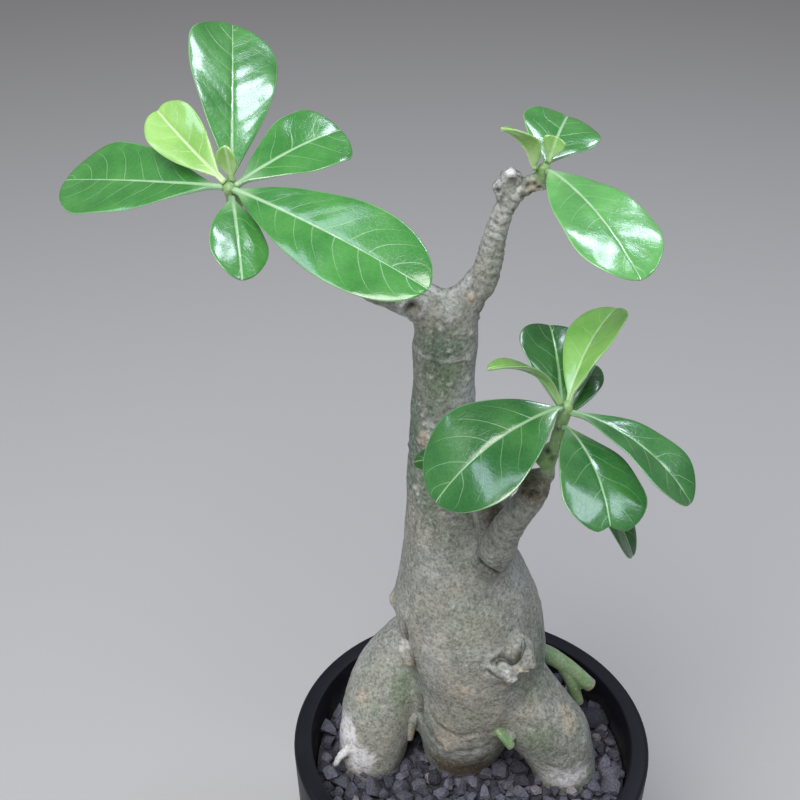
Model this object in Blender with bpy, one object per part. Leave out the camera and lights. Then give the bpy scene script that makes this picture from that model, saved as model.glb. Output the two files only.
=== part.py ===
"""A desert rose (adenium) in a round pot.

The swollen trunk stands on spread root legs in gravel and soil, forks into thin branches, and carries its
leaves in three rosettes. Metres, +Z up, origin at the centre of the pot's underside, front towards -Y.
"""

import math
import random

import bmesh
import bpy
import numpy as np
from mathutils import Matrix, Vector, noise
from mathutils.bvhtree import BVHTree

MM = 0.001
GAP = 0.3 * MM                 # clearance between pieces that touch on the real plant

POT_HEIGHT = 105 * MM
POT_RADIUS = 59.4 * MM           # outside, at the rim
POT_FOOT_RADIUS = 55.5 * MM      # outside, at the floor
POT_WALL = 6 * MM
POT_SIDES = 44
DRAIN_HOLES = 6
DRAIN_RADIUS = 4 * MM
DRAIN_RING = 30 * MM           # radius of the ring of drainage holes

SOIL_TOP = 88 * MM
GRAVEL_TOP = 94 * MM           # mean height of the gravel's surface
STONE_SIZE = 8.2 * MM
STONE_SPACING = 6.6 * MM
STONE_TRIES = 4000

BODY_VOXEL = 1.0 * MM
BODY_TRIANGLES = 3200
LUMP_HEIGHT = 0.7 * MM         # uneven growth on the thick wood
LUMP_SIZE = 13 * MM

BLADE_EDGE = 0.65 * MM         # thickness of a leaf at its margin
BLADE_RIB = 1.1 * MM           # and along its midrib
PETIOLE_WIDTH = 1.7 * MM
PETIOLE_DEPTH = 1.3 * MM
SHOOT_RADIUS = 1.9 * MM        # the green stem ends that carry the leaves
WAVE_HEIGHT = 0.035            # of a leaf's half width, at its margin


# ---------------------------------------------------------------- shared steps

def clear_scene():
    for old in list(bpy.data.objects):
        bpy.data.objects.remove(old, do_unlink=True)


def material(name, colour, roughness):
    made = bpy.data.materials.new(name)
    made.use_nodes = True
    shader = made.node_tree.nodes["Principled BSDF"]
    shader.inputs["Base Color"].default_value = (*colour, 1.0)
    shader.inputs["Roughness"].default_value = roughness
    shader.inputs["Metallic"].default_value = 0.0
    return made


def add_object(name, mesh, mat):
    made = bpy.data.objects.new(name, mesh)
    bpy.context.scene.collection.objects.link(made)
    mesh.materials.clear()
    mesh.materials.append(mat)
    return made


def object_from_bmesh(name, bm, mat):
    mesh = bpy.data.meshes.new(name)
    bm.to_mesh(mesh)
    bm.free()
    return add_object(name, mesh, mat)


def remove(obj):
    bpy.data.objects.remove(obj, do_unlink=True)


def apply_modifiers(obj):
    depsgraph = bpy.context.evaluated_depsgraph_get()
    mesh = bpy.data.meshes.new_from_object(obj.evaluated_get(depsgraph))
    obj.modifiers.clear()
    obj.data = mesh


def cut(obj, cutter):
    """Takes the cutter's volume out of the object for good."""
    boolean = obj.modifiers.new("cut", "BOOLEAN")
    boolean.operation = "DIFFERENCE"
    boolean.solver = "MANIFOLD"
    boolean.object = cutter
    apply_modifiers(obj)


def fuse(obj, parts):
    """Joins every object in parts to obj in one union, and removes them."""
    group = bpy.data.collections.new(obj.name + "_parts")
    bpy.context.scene.collection.children.link(group)
    for part in parts:
        bpy.context.scene.collection.objects.unlink(part)
        group.objects.link(part)
    boolean = obj.modifiers.new("fuse", "BOOLEAN")
    boolean.operation = "UNION"
    boolean.operand_type = "COLLECTION"
    boolean.solver = "MANIFOLD"
    boolean.collection = group
    apply_modifiers(obj)
    for part in parts:
        remove(part)
    bpy.data.collections.remove(group)


def tidy_mesh(obj, merge=0.02 * MM):
    """Merges doubled points, drops slivers and makes every face a triangle."""
    bm = bmesh.new()
    bm.from_mesh(obj.data)
    bmesh.ops.remove_doubles(bm, verts=bm.verts, dist=merge)
    bmesh.ops.dissolve_degenerate(bm, edges=bm.edges, dist=merge)
    bmesh.ops.triangulate(bm, faces=bm.faces)
    bm.to_mesh(obj.data)
    bm.free()


# ---------------------------------------------------------------- pot and soil

def turned(name, profile, mat):
    """A closed solid turned round Z from a profile that starts and ends on the axis."""
    bm = bmesh.new()
    points = [bm.verts.new((r, 0.0, z)) for r, z in profile]
    edges = [bm.edges.new(pair) for pair in zip(points, points[1:])]
    bmesh.ops.spin(bm, geom=points + edges, axis=(0, 0, 1), cent=(0, 0, 0), dvec=(0, 0, 0),
                   angle=math.tau, steps=POT_SIDES, use_merge=True, use_duplicate=False)
    bmesh.ops.remove_doubles(bm, verts=bm.verts, dist=0.01 * MM)
    bmesh.ops.recalc_face_normals(bm, faces=bm.faces)
    return object_from_bmesh(name, bm, mat)


def pot_outside(z):
    return POT_FOOT_RADIUS + (POT_RADIUS - POT_FOOT_RADIUS) * z / POT_HEIGHT


def pot_inside(z):
    return pot_outside(z) - POT_WALL


def make_pot(mat):
    foot = 2.0 * MM                             # bevel round the foot
    lip = 1.2 * MM                              # and at the rim's outer edge
    sharp = 0.5 * MM                            # and at its inner edge
    profile = [
        (0, 0),
        (POT_FOOT_RADIUS - foot, 0),
        (pot_outside(foot), foot),
        (pot_outside(POT_HEIGHT - lip), POT_HEIGHT - lip),
        (POT_RADIUS - lip, POT_HEIGHT),
        (pot_inside(POT_HEIGHT) + sharp, POT_HEIGHT),
        (pot_inside(POT_HEIGHT - sharp), POT_HEIGHT - sharp),
        (pot_inside(POT_WALL), POT_WALL),
        (0, POT_WALL),
    ]
    pot = turned("pot", profile, mat)
    for n in range(DRAIN_HOLES):
        turn = math.tau * n / DRAIN_HOLES
        bm = bmesh.new()
        bmesh.ops.create_cone(bm, cap_ends=True, segments=12, radius1=DRAIN_RADIUS, radius2=DRAIN_RADIUS,
                              depth=4 * POT_WALL)
        hole = object_from_bmesh("drain", bm, mat)
        hole.location = (DRAIN_RING * math.cos(turn), DRAIN_RING * math.sin(turn), 0)
        cut(pot, hole)
        remove(hole)
    tidy_mesh(pot)
    return pot


def make_soil(mat, roots):
    floor = POT_WALL + GAP
    slack = 2 * GAP                             # the turned faces are flat between their corners
    profile = [
        (0, floor),
        (pot_inside(floor) - slack, floor),
        (pot_inside(SOIL_TOP) - slack, SOIL_TOP),
        (0, SOIL_TOP),
    ]
    soil = turned("soil", profile, mat)
    cut(soil, roots)
    tidy_mesh(soil)
    return soil


# ---------------------------------------------------------------- gravel

def hull(bm):
    """The convex hull of a mesh's points, as a new closed mesh of triangles."""
    corners = [vert.co.copy() for vert in bm.verts]
    bm.free()
    made = bmesh.new()
    for corner in corners:
        made.verts.new(corner)
    bmesh.ops.convex_hull(made, input=made.verts)
    bmesh.ops.triangulate(made, faces=made.faces)
    bmesh.ops.recalc_face_normals(made, faces=made.faces)
    return made


def stone(rng, centre, size, widest, mat):
    """One angular bit of lava grit: a squashed cube, its corners moved about, kept inside the pot."""
    bm = bmesh.new()
    bmesh.ops.create_cube(bm, size=1.0)
    for vert in bm.verts:
        vert.co = Vector([c * rng.uniform(0.65, 1.1) for c in vert.co])
    bmesh.ops.scale(bm, verts=bm.verts, vec=(size, size * rng.uniform(0.75, 0.95), size * 0.72))
    lean = Matrix.Rotation(rng.uniform(-0.6, 0.6), 3, "X") @ Matrix.Rotation(rng.uniform(0, math.tau), 3, "Z")
    tumble = Matrix.Rotation(rng.uniform(0, math.tau), 3, "Z") @ lean
    bmesh.ops.rotate(bm, verts=bm.verts, cent=(0, 0, 0), matrix=tumble)
    bmesh.ops.translate(bm, verts=bm.verts, vec=centre)
    for vert in bm.verts:
        vert.co.xy *= min(1.0, widest / vert.co.xy.length)
        vert.co.z = max(vert.co.z, SOIL_TOP + GAP)
    return object_from_bmesh("stone", hull(bm), mat)


def make_gravel(mat, roots, plant):
    """The top layer of grit: a bed with angular stones sunk into it, open round the roots."""
    bed_top = GRAVEL_TOP - 1.4 * MM
    floor = SOIL_TOP + GAP
    slack = 2 * GAP
    profile = [
        (0, floor),
        (pot_inside(floor) - slack, floor),
        (pot_inside(bed_top) - slack, bed_top),
        (0, bed_top),
    ]
    gravel = turned("gravel", profile, mat)
    wood = BVHTree.FromObject(plant, bpy.context.evaluated_depsgraph_get())
    rng = random.Random(7)
    widest = pot_inside(SOIL_TOP) - slack
    reach = widest - 0.4 * STONE_SIZE
    centres = []
    for _ in range(STONE_TRIES):
        turn = rng.uniform(0, math.tau)
        out = reach * math.sqrt(rng.uniform(0, 1))
        spot = Vector((out * math.cos(turn), out * math.sin(turn), GRAVEL_TOP - 0.8 * MM))
        if any((spot - other).length < STONE_SPACING for other in centres):
            continue
        if wood.find_nearest(spot)[3] < 0.5 * STONE_SIZE or inside(wood, spot):
            continue
        centres.append(spot)
    stones = []
    for spot in centres:
        lift = Vector((0, 0, rng.uniform(-0.8, 0.8) * MM))
        stones.append(stone(rng, spot + lift, STONE_SIZE * rng.uniform(0.85, 1.1), widest, mat))
    fuse(gravel, stones)
    cut(gravel, roots)
    tidy_mesh(gravel, merge=0.005 * MM)      # grains may touch, and stay apart
    return gravel


def inside(tree, point):
    """True where the nearest face of a closed mesh faces away from the point."""
    near, normal, _, _ = tree.find_nearest(point)
    return (point - near).dot(normal) < 0


# ---------------------------------------------------------------- the woody plant

# Each limb is a row of stations along its middle: x, y, z and radius, in millimetres.
THICK_LIMBS = {
    "trunk": [(-11.6, 4, 266.5, 8.0), (-11, 4, 258, 9.0), (-11.3, 4, 242, 9.1), (-11.8, 4, 220, 9.7),
              (-10.6, 4, 206, 11.8), (-8.2, 4, 190, 14.5), (-6.3, 4, 176, 18.6), (-3.7, 4, 163, 22.4),
              (-1.2, 4, 151, 23.3), (1.3, 4, 137, 22.4), (1.5, 4, 124, 20)],
    "centre_leg": [(0.5, 3, 132, 20), (-1.5, 1.5, 113, 17), (-2.5, 2.5, 102, 14.8), (-3, 3.5, 94, 12.8),
                   (-3, 5, 80, 9)],
    "right_leg": [(5, 4, 146, 14.5), (10.5, 0.5, 133, 12.5), (18.5, -2.5, 120, 12.8), (26, -3.5, 110, 12.8),
                  (30.5, -4.5, 99, 11.3), (31.8, -5, 92, 10.5), (33, -5, 77, 7.5)],
    "left_leg": [(-12, 14.5, 141, 9), (-19.5, 13.5, 133, 10.3), (-26.3, 10.5, 124, 11.9), (-30, 6.5, 114, 12.7),
                 (-32, 3, 104, 12.3), (-33.5, 0.5, 95, 11.2), (-35, -1, 80, 7.5)],
    "back_leg": [(0, 14, 138, 13), (3, 22, 124, 12), (6, 28, 108, 11), (8, 32, 94, 9.5), (9, 34, 79, 6.5)],
    "side_branch": [(1, -2, 178, 8), (2.2, -7, 184, 6.4), (3.8, -13, 191, 5.4), (6.2, -17, 202, 5.0),
                    (8.8, -20, 211, 4.5), (12.2, -21.5, 218.5, 4.2), (13.5, -21.9, 223.5, 4.1)],
    "left_branch": [(-12, 4, 257, 8), (-15.5, 3.5, 264.8, 6.5), (-22, 2, 268.4, 5.4), (-32, -3, 275, 4.6)],
    "top_branch": [(-10.5, 4, 256.5, 8), (-8.2, 4, 264, 5.9), (-4.8, 4, 267.6, 4.7), (-1.2, 4, 274.5, 3.9)],
    "pruned_stub": [(5, -14, 149, 6), (8.4, -19.5, 152, 3.6), (9.6, -21.8, 151.6, 2.6)],
    "snag": [(13.6, -13, 157, 4.5), (14.3, -17.2, 156.5, 3), (15, -19.8, 153, 2.3)],
    "left_knob": [(-22, 4, 158, 4), (-25.7, 3.5, 160.8, 2.4)],
    "right_knob": [(12, 2, 166, 5), (15.6, 1, 165.5, 2.2)],
}

THIN_LIMBS = {
    "left_branch_end": [(-27, -0.5, 271.8, 4.6), (-32, -3, 275.2, 4.4), (-45, -8.5, 287.2, 3.7),
                        (-56, -11, 297.2, 3.1), (-63.2, -9.5, 300.2, 2.6)],
    "top_branch_end": [(-2.5, 4, 270, 4.6), (-0.4, 4, 275, 4.1), (1, 4, 283, 3.5), (2.3, 4, 289, 3.1),
                       (4.2, 4, 294.5, 2.8), (6.8, 4, 298.2, 2.6), (10, 4, 300.3, 2.4), (12.4, 4, 301.4, 2.2)],
    "top_stub_tall": [(4, 4, 295, 2.5), (4.7, 4, 298.5, 2.3), (4.9, 4, 301, 2.8), (5, 4, 302.3, 2.5)],
    "top_stub_short": [(3.6, 4, 295, 2.2), (2.6, 3.4, 297.8, 1.8), (1.8, 3, 299.6, 1.7)],
    "cleft_twig": [(5.5, -8, 122, 1.6), (7.6, -13.4, 119.6, 1.5), (11.4, -15, 116.2, 1.8)],
    "pruned_fork_long": [(16, 11, 131, 3.4), (25.5, 11.5, 129.5, 2.8), (33, 11.5, 123.5, 2.5),
                         (40.5, 11.5, 115.8, 2.2)],
    "pruned_fork_short": [(30, 11.5, 126, 2.3), (34.5, 10.8, 117, 2.0), (36.7, 10.2, 110, 1.7)],
    "pale_root_nub": [(-17, -3, 150, 3), (-21.6, -8, 151, 2.1), (-20.9, -10.6, 148.6, 1.6)],
    "cleft_root": [(-15, 4, 112, 2.6), (-19.6, 1.5, 112, 2.0), (-20.4, 0.5, 106, 1.5)],
    "fine_root": [(-38, -4, 104, 2.2), (-43.5, -8, 102.5, 1.4), (-45.2, -9.5, 99.5, 1.0)],
}

# Each rosette: its middle, the way its shoot points, and how far the bare green shoot reaches back.
ROSETTES = {
    "left": {"middle": (-66, -12, 305.5), "axis": (-0.15, -0.55, 0.82), "stem": (-0.15, -0.55, 0.82), "reach": 6},
    "top": {"middle": (13.3, 3, 304.5), "axis": (0.1, -0.35, 0.93), "stem": (0.1, -0.35, 0.93), "reach": 5},
    "side": {"middle": (19.3, -28, 251.5), "axis": (0.24, -0.27, 0.93), "stem": (0.12, -0.25, 0.96), "reach": 27},
}


def unit(vector):
    return vector / np.linalg.norm(vector)


def smooth_stations(stations, steps):
    """Points on a smooth curve through the stations, radius included."""
    rows = [np.array(s, float) * MM for s in stations]
    rows = [2 * rows[0] - rows[1]] + rows + [2 * rows[-1] - rows[-2]]
    out = []
    for a, b, c, d in zip(rows, rows[1:], rows[2:], rows[3:]):
        for t in np.linspace(0, 1, steps, endpoint=False):
            out.append(0.5 * (2 * b + (c - a) * t + (2 * a - 5 * b + 4 * c - d) * t ** 2
                              + (3 * b - a - 3 * c + d) * t ** 3))
    out.append(rows[-2])
    return np.array(out)


def add_tube(bm, points, sides, round_end):
    """A closed tube along points of x, y, z and radius, with its far end flat or rounded."""
    if round_end:
        tip = points[-1]
        ahead = points[-1][:3] - points[-2][:3]
        ahead /= np.linalg.norm(ahead)
        for angle in (35, 65):
            out = math.radians(angle)
            row = np.append(tip[:3] + ahead * tip[3] * math.sin(out), tip[3] * math.cos(out))
            points = np.vstack([points, row])
    middles = [Vector(p[:3]) for p in points]
    side = None
    rings = []
    radii = [float(p[3]) for p in points]
    for n, (middle, radius) in enumerate(zip(middles, radii)):
        along = (middles[min(n + 1, len(middles) - 1)] - middles[max(n - 1, 0)]).normalized()
        if side is None:
            side = along.orthogonal().normalized()
        side = (side - along * side.dot(along)).normalized()
        across = along.cross(side)
        ring = []
        for k in range(sides):
            turn = math.tau * k / sides
            ring.append(bm.verts.new(middle + radius * (math.cos(turn) * side + math.sin(turn) * across)))
        rings.append(ring)
    for low, high in zip(rings, rings[1:]):
        for k in range(sides):
            m = (k + 1) % sides
            bm.faces.new((low[k], low[m], high[m], high[k]))
    bm.faces.new(list(reversed(rings[0])))
    bm.faces.new(rings[-1])


def move_out(mesh, distance):
    """Moves each point out along its normal by distance(point)."""
    normals = [vert.normal.copy() for vert in mesh.vertices]
    for vert, normal in zip(mesh.vertices, normals):
        vert.co += normal * distance(vert.co)


def thick_wood(mat):
    """Trunk, legs and branch feet as tubes melted into one skin, with the lumps of uneven growth."""
    bm = bmesh.new()
    for stations in THICK_LIMBS.values():
        add_tube(bm, smooth_stations(stations, 4), 18, round_end=True)
    wood = object_from_bmesh("caudex", bm, mat)
    remesh = wood.modifiers.new("skin", "REMESH")
    remesh.mode = "VOXEL"
    remesh.voxel_size = BODY_VOXEL
    smooth = wood.modifiers.new("soften", "SMOOTH")
    smooth.factor = 0.5
    smooth.iterations = 14
    apply_modifiers(wood)
    move_out(wood.data, lambda co: LUMP_HEIGHT * (noise.noise(co / LUMP_SIZE)
                                                  + 0.45 * noise.noise(co / (0.4 * LUMP_SIZE))))
    thin = wood.modifiers.new("thin", "DECIMATE")
    wood.data.calc_loop_triangles()
    thin.ratio = BODY_TRIANGLES / len(wood.data.loop_triangles)
    apply_modifiers(wood)
    return wood


def shoot_stations(rosette):
    """The straight green end of a shoot, below the middle of its rosette."""
    middle = np.array(rosette["middle"], float)
    stem = unit(np.array(rosette["stem"], float))
    radius = SHOOT_RADIUS / MM
    flared = [(rosette["reach"], 1.4 * radius), (rosette["reach"] - 2.5, 1.1 * radius)]
    return [(*(middle - stem * back), r) for back, r in flared + [(0.5 * rosette["reach"], radius), (-0.5, radius)]]


def make_plant(mat):
    wood = thick_wood(mat)
    limbs = []
    runs = [(stations, 9, 2) for stations in THIN_LIMBS.values()]
    runs += [(shoot_stations(rosette), 10, 1) for rosette in ROSETTES.values()]
    for stations, sides, steps in runs:
        bm = bmesh.new()
        add_tube(bm, smooth_stations(stations, steps), sides, round_end=True)
        bmesh.ops.recalc_face_normals(bm, faces=bm.faces)
        limbs.append(object_from_bmesh("limb", bm, mat))
    fuse(wood, limbs)
    tidy_mesh(wood)
    return wood


def grown_copy(obj, growth):
    """A copy of a solid with its skin moved out, which cuts it a hole with clearance."""
    mesh = obj.data.copy()
    move_out(mesh, lambda co: growth)
    made = add_object(obj.name + "_grown", mesh, obj.data.materials[0])
    made.hide_render = True
    made.display_type = "WIRE"
    return made


# ---------------------------------------------------------------- leaves

# clock: the way a leaf points round its shoot, in degrees, 0 at the back and up, clockwise seen from the tip.
# rise: above the rosette's plane. droop, sweep: how far the midrib bends down and sideways along its length.
# turn: the blade rolled round its midrib. fold: how far its halves are raised. seat: how far down the shoot
# it grows, in mm. peak: where it is widest. wedge, tip: how straight its foot and how blunt its end.
LEAF_FORM = dict(droop=20, turn=0, fold=8, sweep=0, seat=0, peak=0.69, wedge=1.1, tip=0.53, rows=9)
BIG = 12                       # rows along a large leaf
LEAVES = {
    "left": [
        dict(clock=114, rise=7, length=61, width=23, turn=2, fold=4, wedge=0.9, tip=0.5, seat=-1.2, rows=BIG),
        dict(clock=343, rise=-6, length=56, width=25, droop=18, turn=-34, fold=6, peak=0.77, sweep=5, seat=1,
             rows=BIG),
        dict(clock=39, rise=-14, length=32, width=22, droop=28, fold=4, peak=0.8, seat=0.5),
        dict(clock=277, rise=-17, length=54, width=25, droop=14, turn=-5, fold=5, peak=0.71, sweep=5,
             wedge=1.2, rows=BIG),
        dict(clock=308, rise=3, length=29.5, width=14.5, turn=8, fold=11, peak=0.7, sweep=6, seat=-1.5),
        dict(clock=156, rise=11, length=28, width=14.5, droop=28, turn=30, fold=5, peak=0.67, sweep=-6, seat=0.5),
        dict(clock=0, rise=72, length=10, width=6, droop=0, fold=25, seat=-0.5),
    ],
    "top": [
        dict(clock=173, rise=9, length=47.5, width=23.5, droop=36, fold=4, wedge=0.85, seat=-1.5, rows=BIG),
        dict(clock=34, rise=-7, length=25, width=22, droop=22, turn=-4, fold=6, peak=0.66, sweep=4),
        dict(clock=279, rise=49, length=17, width=9.5, droop=52, turn=-38, fold=24, peak=0.5, tip=1.1, wedge=0.8,
             seat=-1.3),
        dict(clock=42, rise=70, length=6.5, width=6.5, droop=0, fold=18, peak=0.85, tip=0.4, seat=-1.5),
    ],
    "side": [
        dict(clock=274, rise=-32, length=42, width=29, droop=60, turn=-5, fold=4, peak=0.62, sweep=-10, seat=-1,
             wedge=1.0, rows=BIG),
        dict(clock=205, rise=1, length=35.5, width=24, droop=57, turn=4, fold=3, peak=0.72, tip=0.4, seat=5,
             rows=BIG),
        dict(clock=168, rise=-2, length=39, width=18.5, droop=58, turn=8, peak=0.73, wedge=1.15, rows=BIG),
        dict(clock=64, rise=21, length=32, width=17, droop=40, turn=41, fold=12, peak=0.72, sweep=3, rows=BIG),
        dict(clock=296, rise=28, length=28.5, width=7.5, droop=66, turn=-34, fold=18, seat=-2.5),
        dict(clock=34, rise=10, length=28, width=22, droop=30, fold=12, seat=4.5),
        dict(clock=66, rise=6, length=23, width=9, droop=28, seat=7),
        dict(clock=163.5, rise=-33.5, length=37, width=11, droop=36, fold=12, seat=14),
        dict(clock=317, rise=-26.5, length=35.5, width=13, droop=16, fold=10, seat=20),
    ],
}


def rosette_frame(rosette):
    """A rosette's axis, and two directions in its plane: clock 0, and clock 90."""
    axis = unit(np.array(rosette["axis"], float))
    up = np.array([0.0, 0.0, 1.0])
    noon = unit(up - axis * (up @ axis))
    return axis, noon, np.cross(noon, axis)


def half_width(v, leaf):
    """The blade's half width along its length: a wedge up to its widest place, then a round end."""
    rising = np.sin(math.pi / 2 * np.clip(v / leaf["peak"], 0, 1)) ** leaf["wedge"]
    falling = np.cos(math.pi / 2 * np.clip((v - leaf["peak"]) / (1 - leaf["peak"]), 0, 1)) ** leaf["tip"]
    blade = leaf["width"] / 2 * MM * np.where(v < leaf["peak"], rising, falling)
    return np.maximum(blade, np.where(v < 0.5, PETIOLE_WIDTH / 2, 0.5 * MM))


def leaf_points(rosette, leaf, columns, rows):
    """Upper and lower points of a blade, as arrays of rows by columns by 3."""
    axis, noon, right = rosette_frame(rosette)
    clock = math.radians(leaf["clock"])
    rise = math.radians(leaf["rise"])
    outward = math.cos(clock) * noon + math.sin(clock) * right
    ahead = math.cos(rise) * outward + math.sin(rise) * axis
    side = unit(np.cross(ahead, axis))
    top = np.cross(side, ahead)
    roll = math.radians(leaf["turn"])
    side, top = math.cos(roll) * side + math.sin(roll) * top, math.cos(roll) * top - math.sin(roll) * side
    stand = SHOOT_RADIUS + 1.5 * GAP + PETIOLE_DEPTH / 2 * abs(math.sin(rise))
    stem = unit(np.array(rosette["stem"], float))
    base = (np.array(rosette["middle"], float) - stem * leaf["seat"]) * MM + outward * stand

    foot = np.linspace(0, leaf["peak"], rows * 2 // 3, endpoint=False)
    end = leaf["peak"] + (1 - leaf["peak"]) * np.sin(np.linspace(0, math.pi / 2, rows - len(foot)))
    v = np.concatenate([foot, end])
    bend = math.radians(leaf["droop"]) * (0.5 - v)
    sweep = math.radians(leaf["sweep"]) * (v - 0.5)
    run = (np.cos(bend) * np.cos(sweep))[:, None] * ahead + np.sin(bend)[:, None] * top \
        + (np.cos(bend) * np.sin(sweep))[:, None] * side
    steps = (run[1:] + run[:-1]) / 2 * (np.diff(v) * leaf["length"] * MM)[:, None]
    midrib = base + np.vstack([np.zeros(3), np.cumsum(steps, axis=0)])
    across = side - run * (run @ side)[:, None]
    across /= np.linalg.norm(across, axis=1)[:, None]
    normal = np.cross(across, run)

    half = half_width(v, leaf)
    fold = math.radians(leaf["fold"])
    foot_share = np.clip(1 - v / 0.3, 0, 1)
    upper = []
    lower = []
    for u in np.linspace(-1, 1, columns):
        wave = WAVE_HEIGHT * half * u * u * np.sin(math.tau * 2.4 * v + 2.0 * u + leaf["clock"])
        lift = abs(u) * half * math.sin(fold) + wave
        skin = midrib + (u * half * math.cos(fold))[:, None] * across + lift[:, None] * normal
        blade = BLADE_EDGE + (BLADE_RIB - BLADE_EDGE) * (1 - abs(u)) ** 1.5
        depth = blade + (PETIOLE_DEPTH - blade) * foot_share
        upper.append(skin + (depth / 2)[:, None] * normal)
        lower.append(skin - (depth / 2)[:, None] * normal)
    return np.stack(upper, axis=1), np.stack(lower, axis=1)


def make_leaf(name, rosette, form, mat):
    """One leaf as a closed blade, its two faces split into triangles alike."""
    leaf = {**LEAF_FORM, **form}
    rows = leaf["rows"]
    columns = 5
    upper, lower = leaf_points(rosette, leaf, columns, rows)
    points = np.concatenate([upper.reshape(-1, 3), lower.reshape(-1, 3)])
    under = rows * columns
    faces = []
    for r in range(rows - 1):
        for c in range(columns - 1):
            a, b = r * columns + c, r * columns + c + 1
            d, e = a + columns, b + columns
            for three in ((a, b, e), (a, e, d)) if c < columns // 2 else ((a, b, d), (b, e, d)):
                faces.append(three)
                faces.append(tuple(under + k for k in reversed(three)))
    rim = [r * columns for r in range(rows)]
    rim += [(rows - 1) * columns + c for c in range(1, columns)]
    rim += [r * columns + columns - 1 for r in range(rows - 2, -1, -1)]
    rim += list(range(columns - 2, 0, -1))
    for a, b in zip(rim, rim[1:] + rim[:1]):
        faces.append((a, b, under + b))
        faces.append((a, under + b, under + a))
    mesh = bpy.data.meshes.new(name)
    mesh.from_pydata([tuple(p) for p in points], [], faces)
    bm = bmesh.new()
    bm.from_mesh(mesh)
    bmesh.ops.recalc_face_normals(bm, faces=bm.faces)
    bm.to_mesh(mesh)
    bm.free()
    return add_object(name, mesh, mat)


# ---------------------------------------------------------------- the whole plant in its pot

clear_scene()
pot_black = material("pot_black", (0.012, 0.013, 0.022), 0.55)
soil_brown = material("soil_brown", (0.045, 0.03, 0.02), 0.95)
gravel_grey = material("gravel_grey", (0.06, 0.058, 0.065), 0.9)
bark = material("bark", (0.24, 0.25, 0.19), 0.8)
leaf_green = material("leaf_green", (0.07, 0.2, 0.05), 0.3)
young_green = material("young_green", (0.28, 0.48, 0.1), 0.35)

make_pot(pot_black)
plant = make_plant(bark)
root_room = grown_copy(plant, 1.5 * GAP)
make_soil(soil_brown, root_room)
make_gravel(gravel_grey, root_room, plant)
remove(root_room)

YOUNG = {"left": (5, 7), "top": (3, 4), "side": (4, 5)}
for rosette_name, forms in LEAVES.items():
    for number, leaf_form in enumerate(forms, start=1):
        green = young_green if number in YOUNG[rosette_name] else leaf_green
        make_leaf(f"leaf_{rosette_name}_{number}", ROSETTES[rosette_name], leaf_form, green)
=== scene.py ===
"""The finished look of a desert rose in its pot: bark, leaves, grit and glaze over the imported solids."""

import math
import random

import bmesh
import bpy
import numpy as np
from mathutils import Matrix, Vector, noise


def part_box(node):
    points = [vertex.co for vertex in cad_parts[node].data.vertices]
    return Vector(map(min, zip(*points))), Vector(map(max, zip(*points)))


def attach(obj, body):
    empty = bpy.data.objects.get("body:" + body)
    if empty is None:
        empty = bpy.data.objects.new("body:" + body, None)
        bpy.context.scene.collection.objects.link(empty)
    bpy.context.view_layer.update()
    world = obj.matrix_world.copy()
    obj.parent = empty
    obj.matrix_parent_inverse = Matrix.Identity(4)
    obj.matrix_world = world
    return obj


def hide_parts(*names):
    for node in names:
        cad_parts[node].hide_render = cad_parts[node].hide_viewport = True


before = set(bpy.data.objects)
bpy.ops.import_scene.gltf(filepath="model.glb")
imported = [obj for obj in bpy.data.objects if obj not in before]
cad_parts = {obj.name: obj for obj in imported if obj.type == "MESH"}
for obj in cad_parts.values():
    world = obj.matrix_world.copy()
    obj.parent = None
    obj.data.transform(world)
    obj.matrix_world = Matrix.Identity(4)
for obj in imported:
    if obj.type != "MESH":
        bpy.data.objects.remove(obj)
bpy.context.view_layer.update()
MM = 0.001
scene = bpy.context.scene


# ---------------------------------------------------------------- pot
# A thick-walled round pot of black fired clay, a little wider at its rim than at its foot. The rim is cut
# flat and rounded over outside, and six drainage holes go through the floor.

def new_object(name, data):
    made = bpy.data.objects.new(name, data)
    scene.collection.objects.link(made)
    return made


def finished(obj):
    """The object's mesh with its modifiers in it, as a plain mesh."""
    depsgraph = bpy.context.evaluated_depsgraph_get()
    mesh = bpy.data.meshes.new_from_object(obj.evaluated_get(depsgraph))
    obj.modifiers.clear()
    obj.data = mesh
    return obj


def soften(mesh, degrees):
    """Smooth shading, with the edges sharper than this angle kept crisp."""
    mesh.shade_smooth()
    mesh.set_sharp_from_angle(angle=math.radians(degrees))


def arc(centre, radius, start, end, steps):
    """Points of an arc in the plane of radius and height, from one angle to another, in degrees."""
    turns = np.radians(np.linspace(start, end, steps + 1))
    return [(centre[0] + radius * math.cos(t), centre[1] + radius * math.sin(t)) for t in turns]


def lathe(bm, profile, steps):
    """A surface turned round the pot's axis, from points of radius and height."""
    points = [bm.verts.new((r, 0.0, z)) for r, z in profile]
    edges = [bm.edges.new(pair) for pair in zip(points, points[1:])]
    bmesh.ops.spin(bm, geom=points + edges, axis=(0, 0, 1), cent=(0, 0, 0), angle=math.tau, steps=steps,
                   use_merge=True, use_duplicate=False)


def built(name, bm):
    """The faces made in bm as a mesh of their own."""
    mesh = bpy.data.meshes.new(name)
    bm.to_mesh(mesh)
    bm.free()
    return mesh


pot_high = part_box("pot")[1]
pot_height = pot_high.z
rim_radius = pot_high.x
foot_radius = 55.5 * MM
pot_wall = 6 * MM
lip = 1.7 * MM
inner_lip = 0.7 * MM
foot_bevel = 1.8 * MM
floor_fillet = 1.0 * MM
drain_holes = 6
drain_ring = 30 * MM
drain_radius = 4 * MM


def outside_at(z):
    return foot_radius + (rim_radius - foot_radius) * z / pot_height


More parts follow.
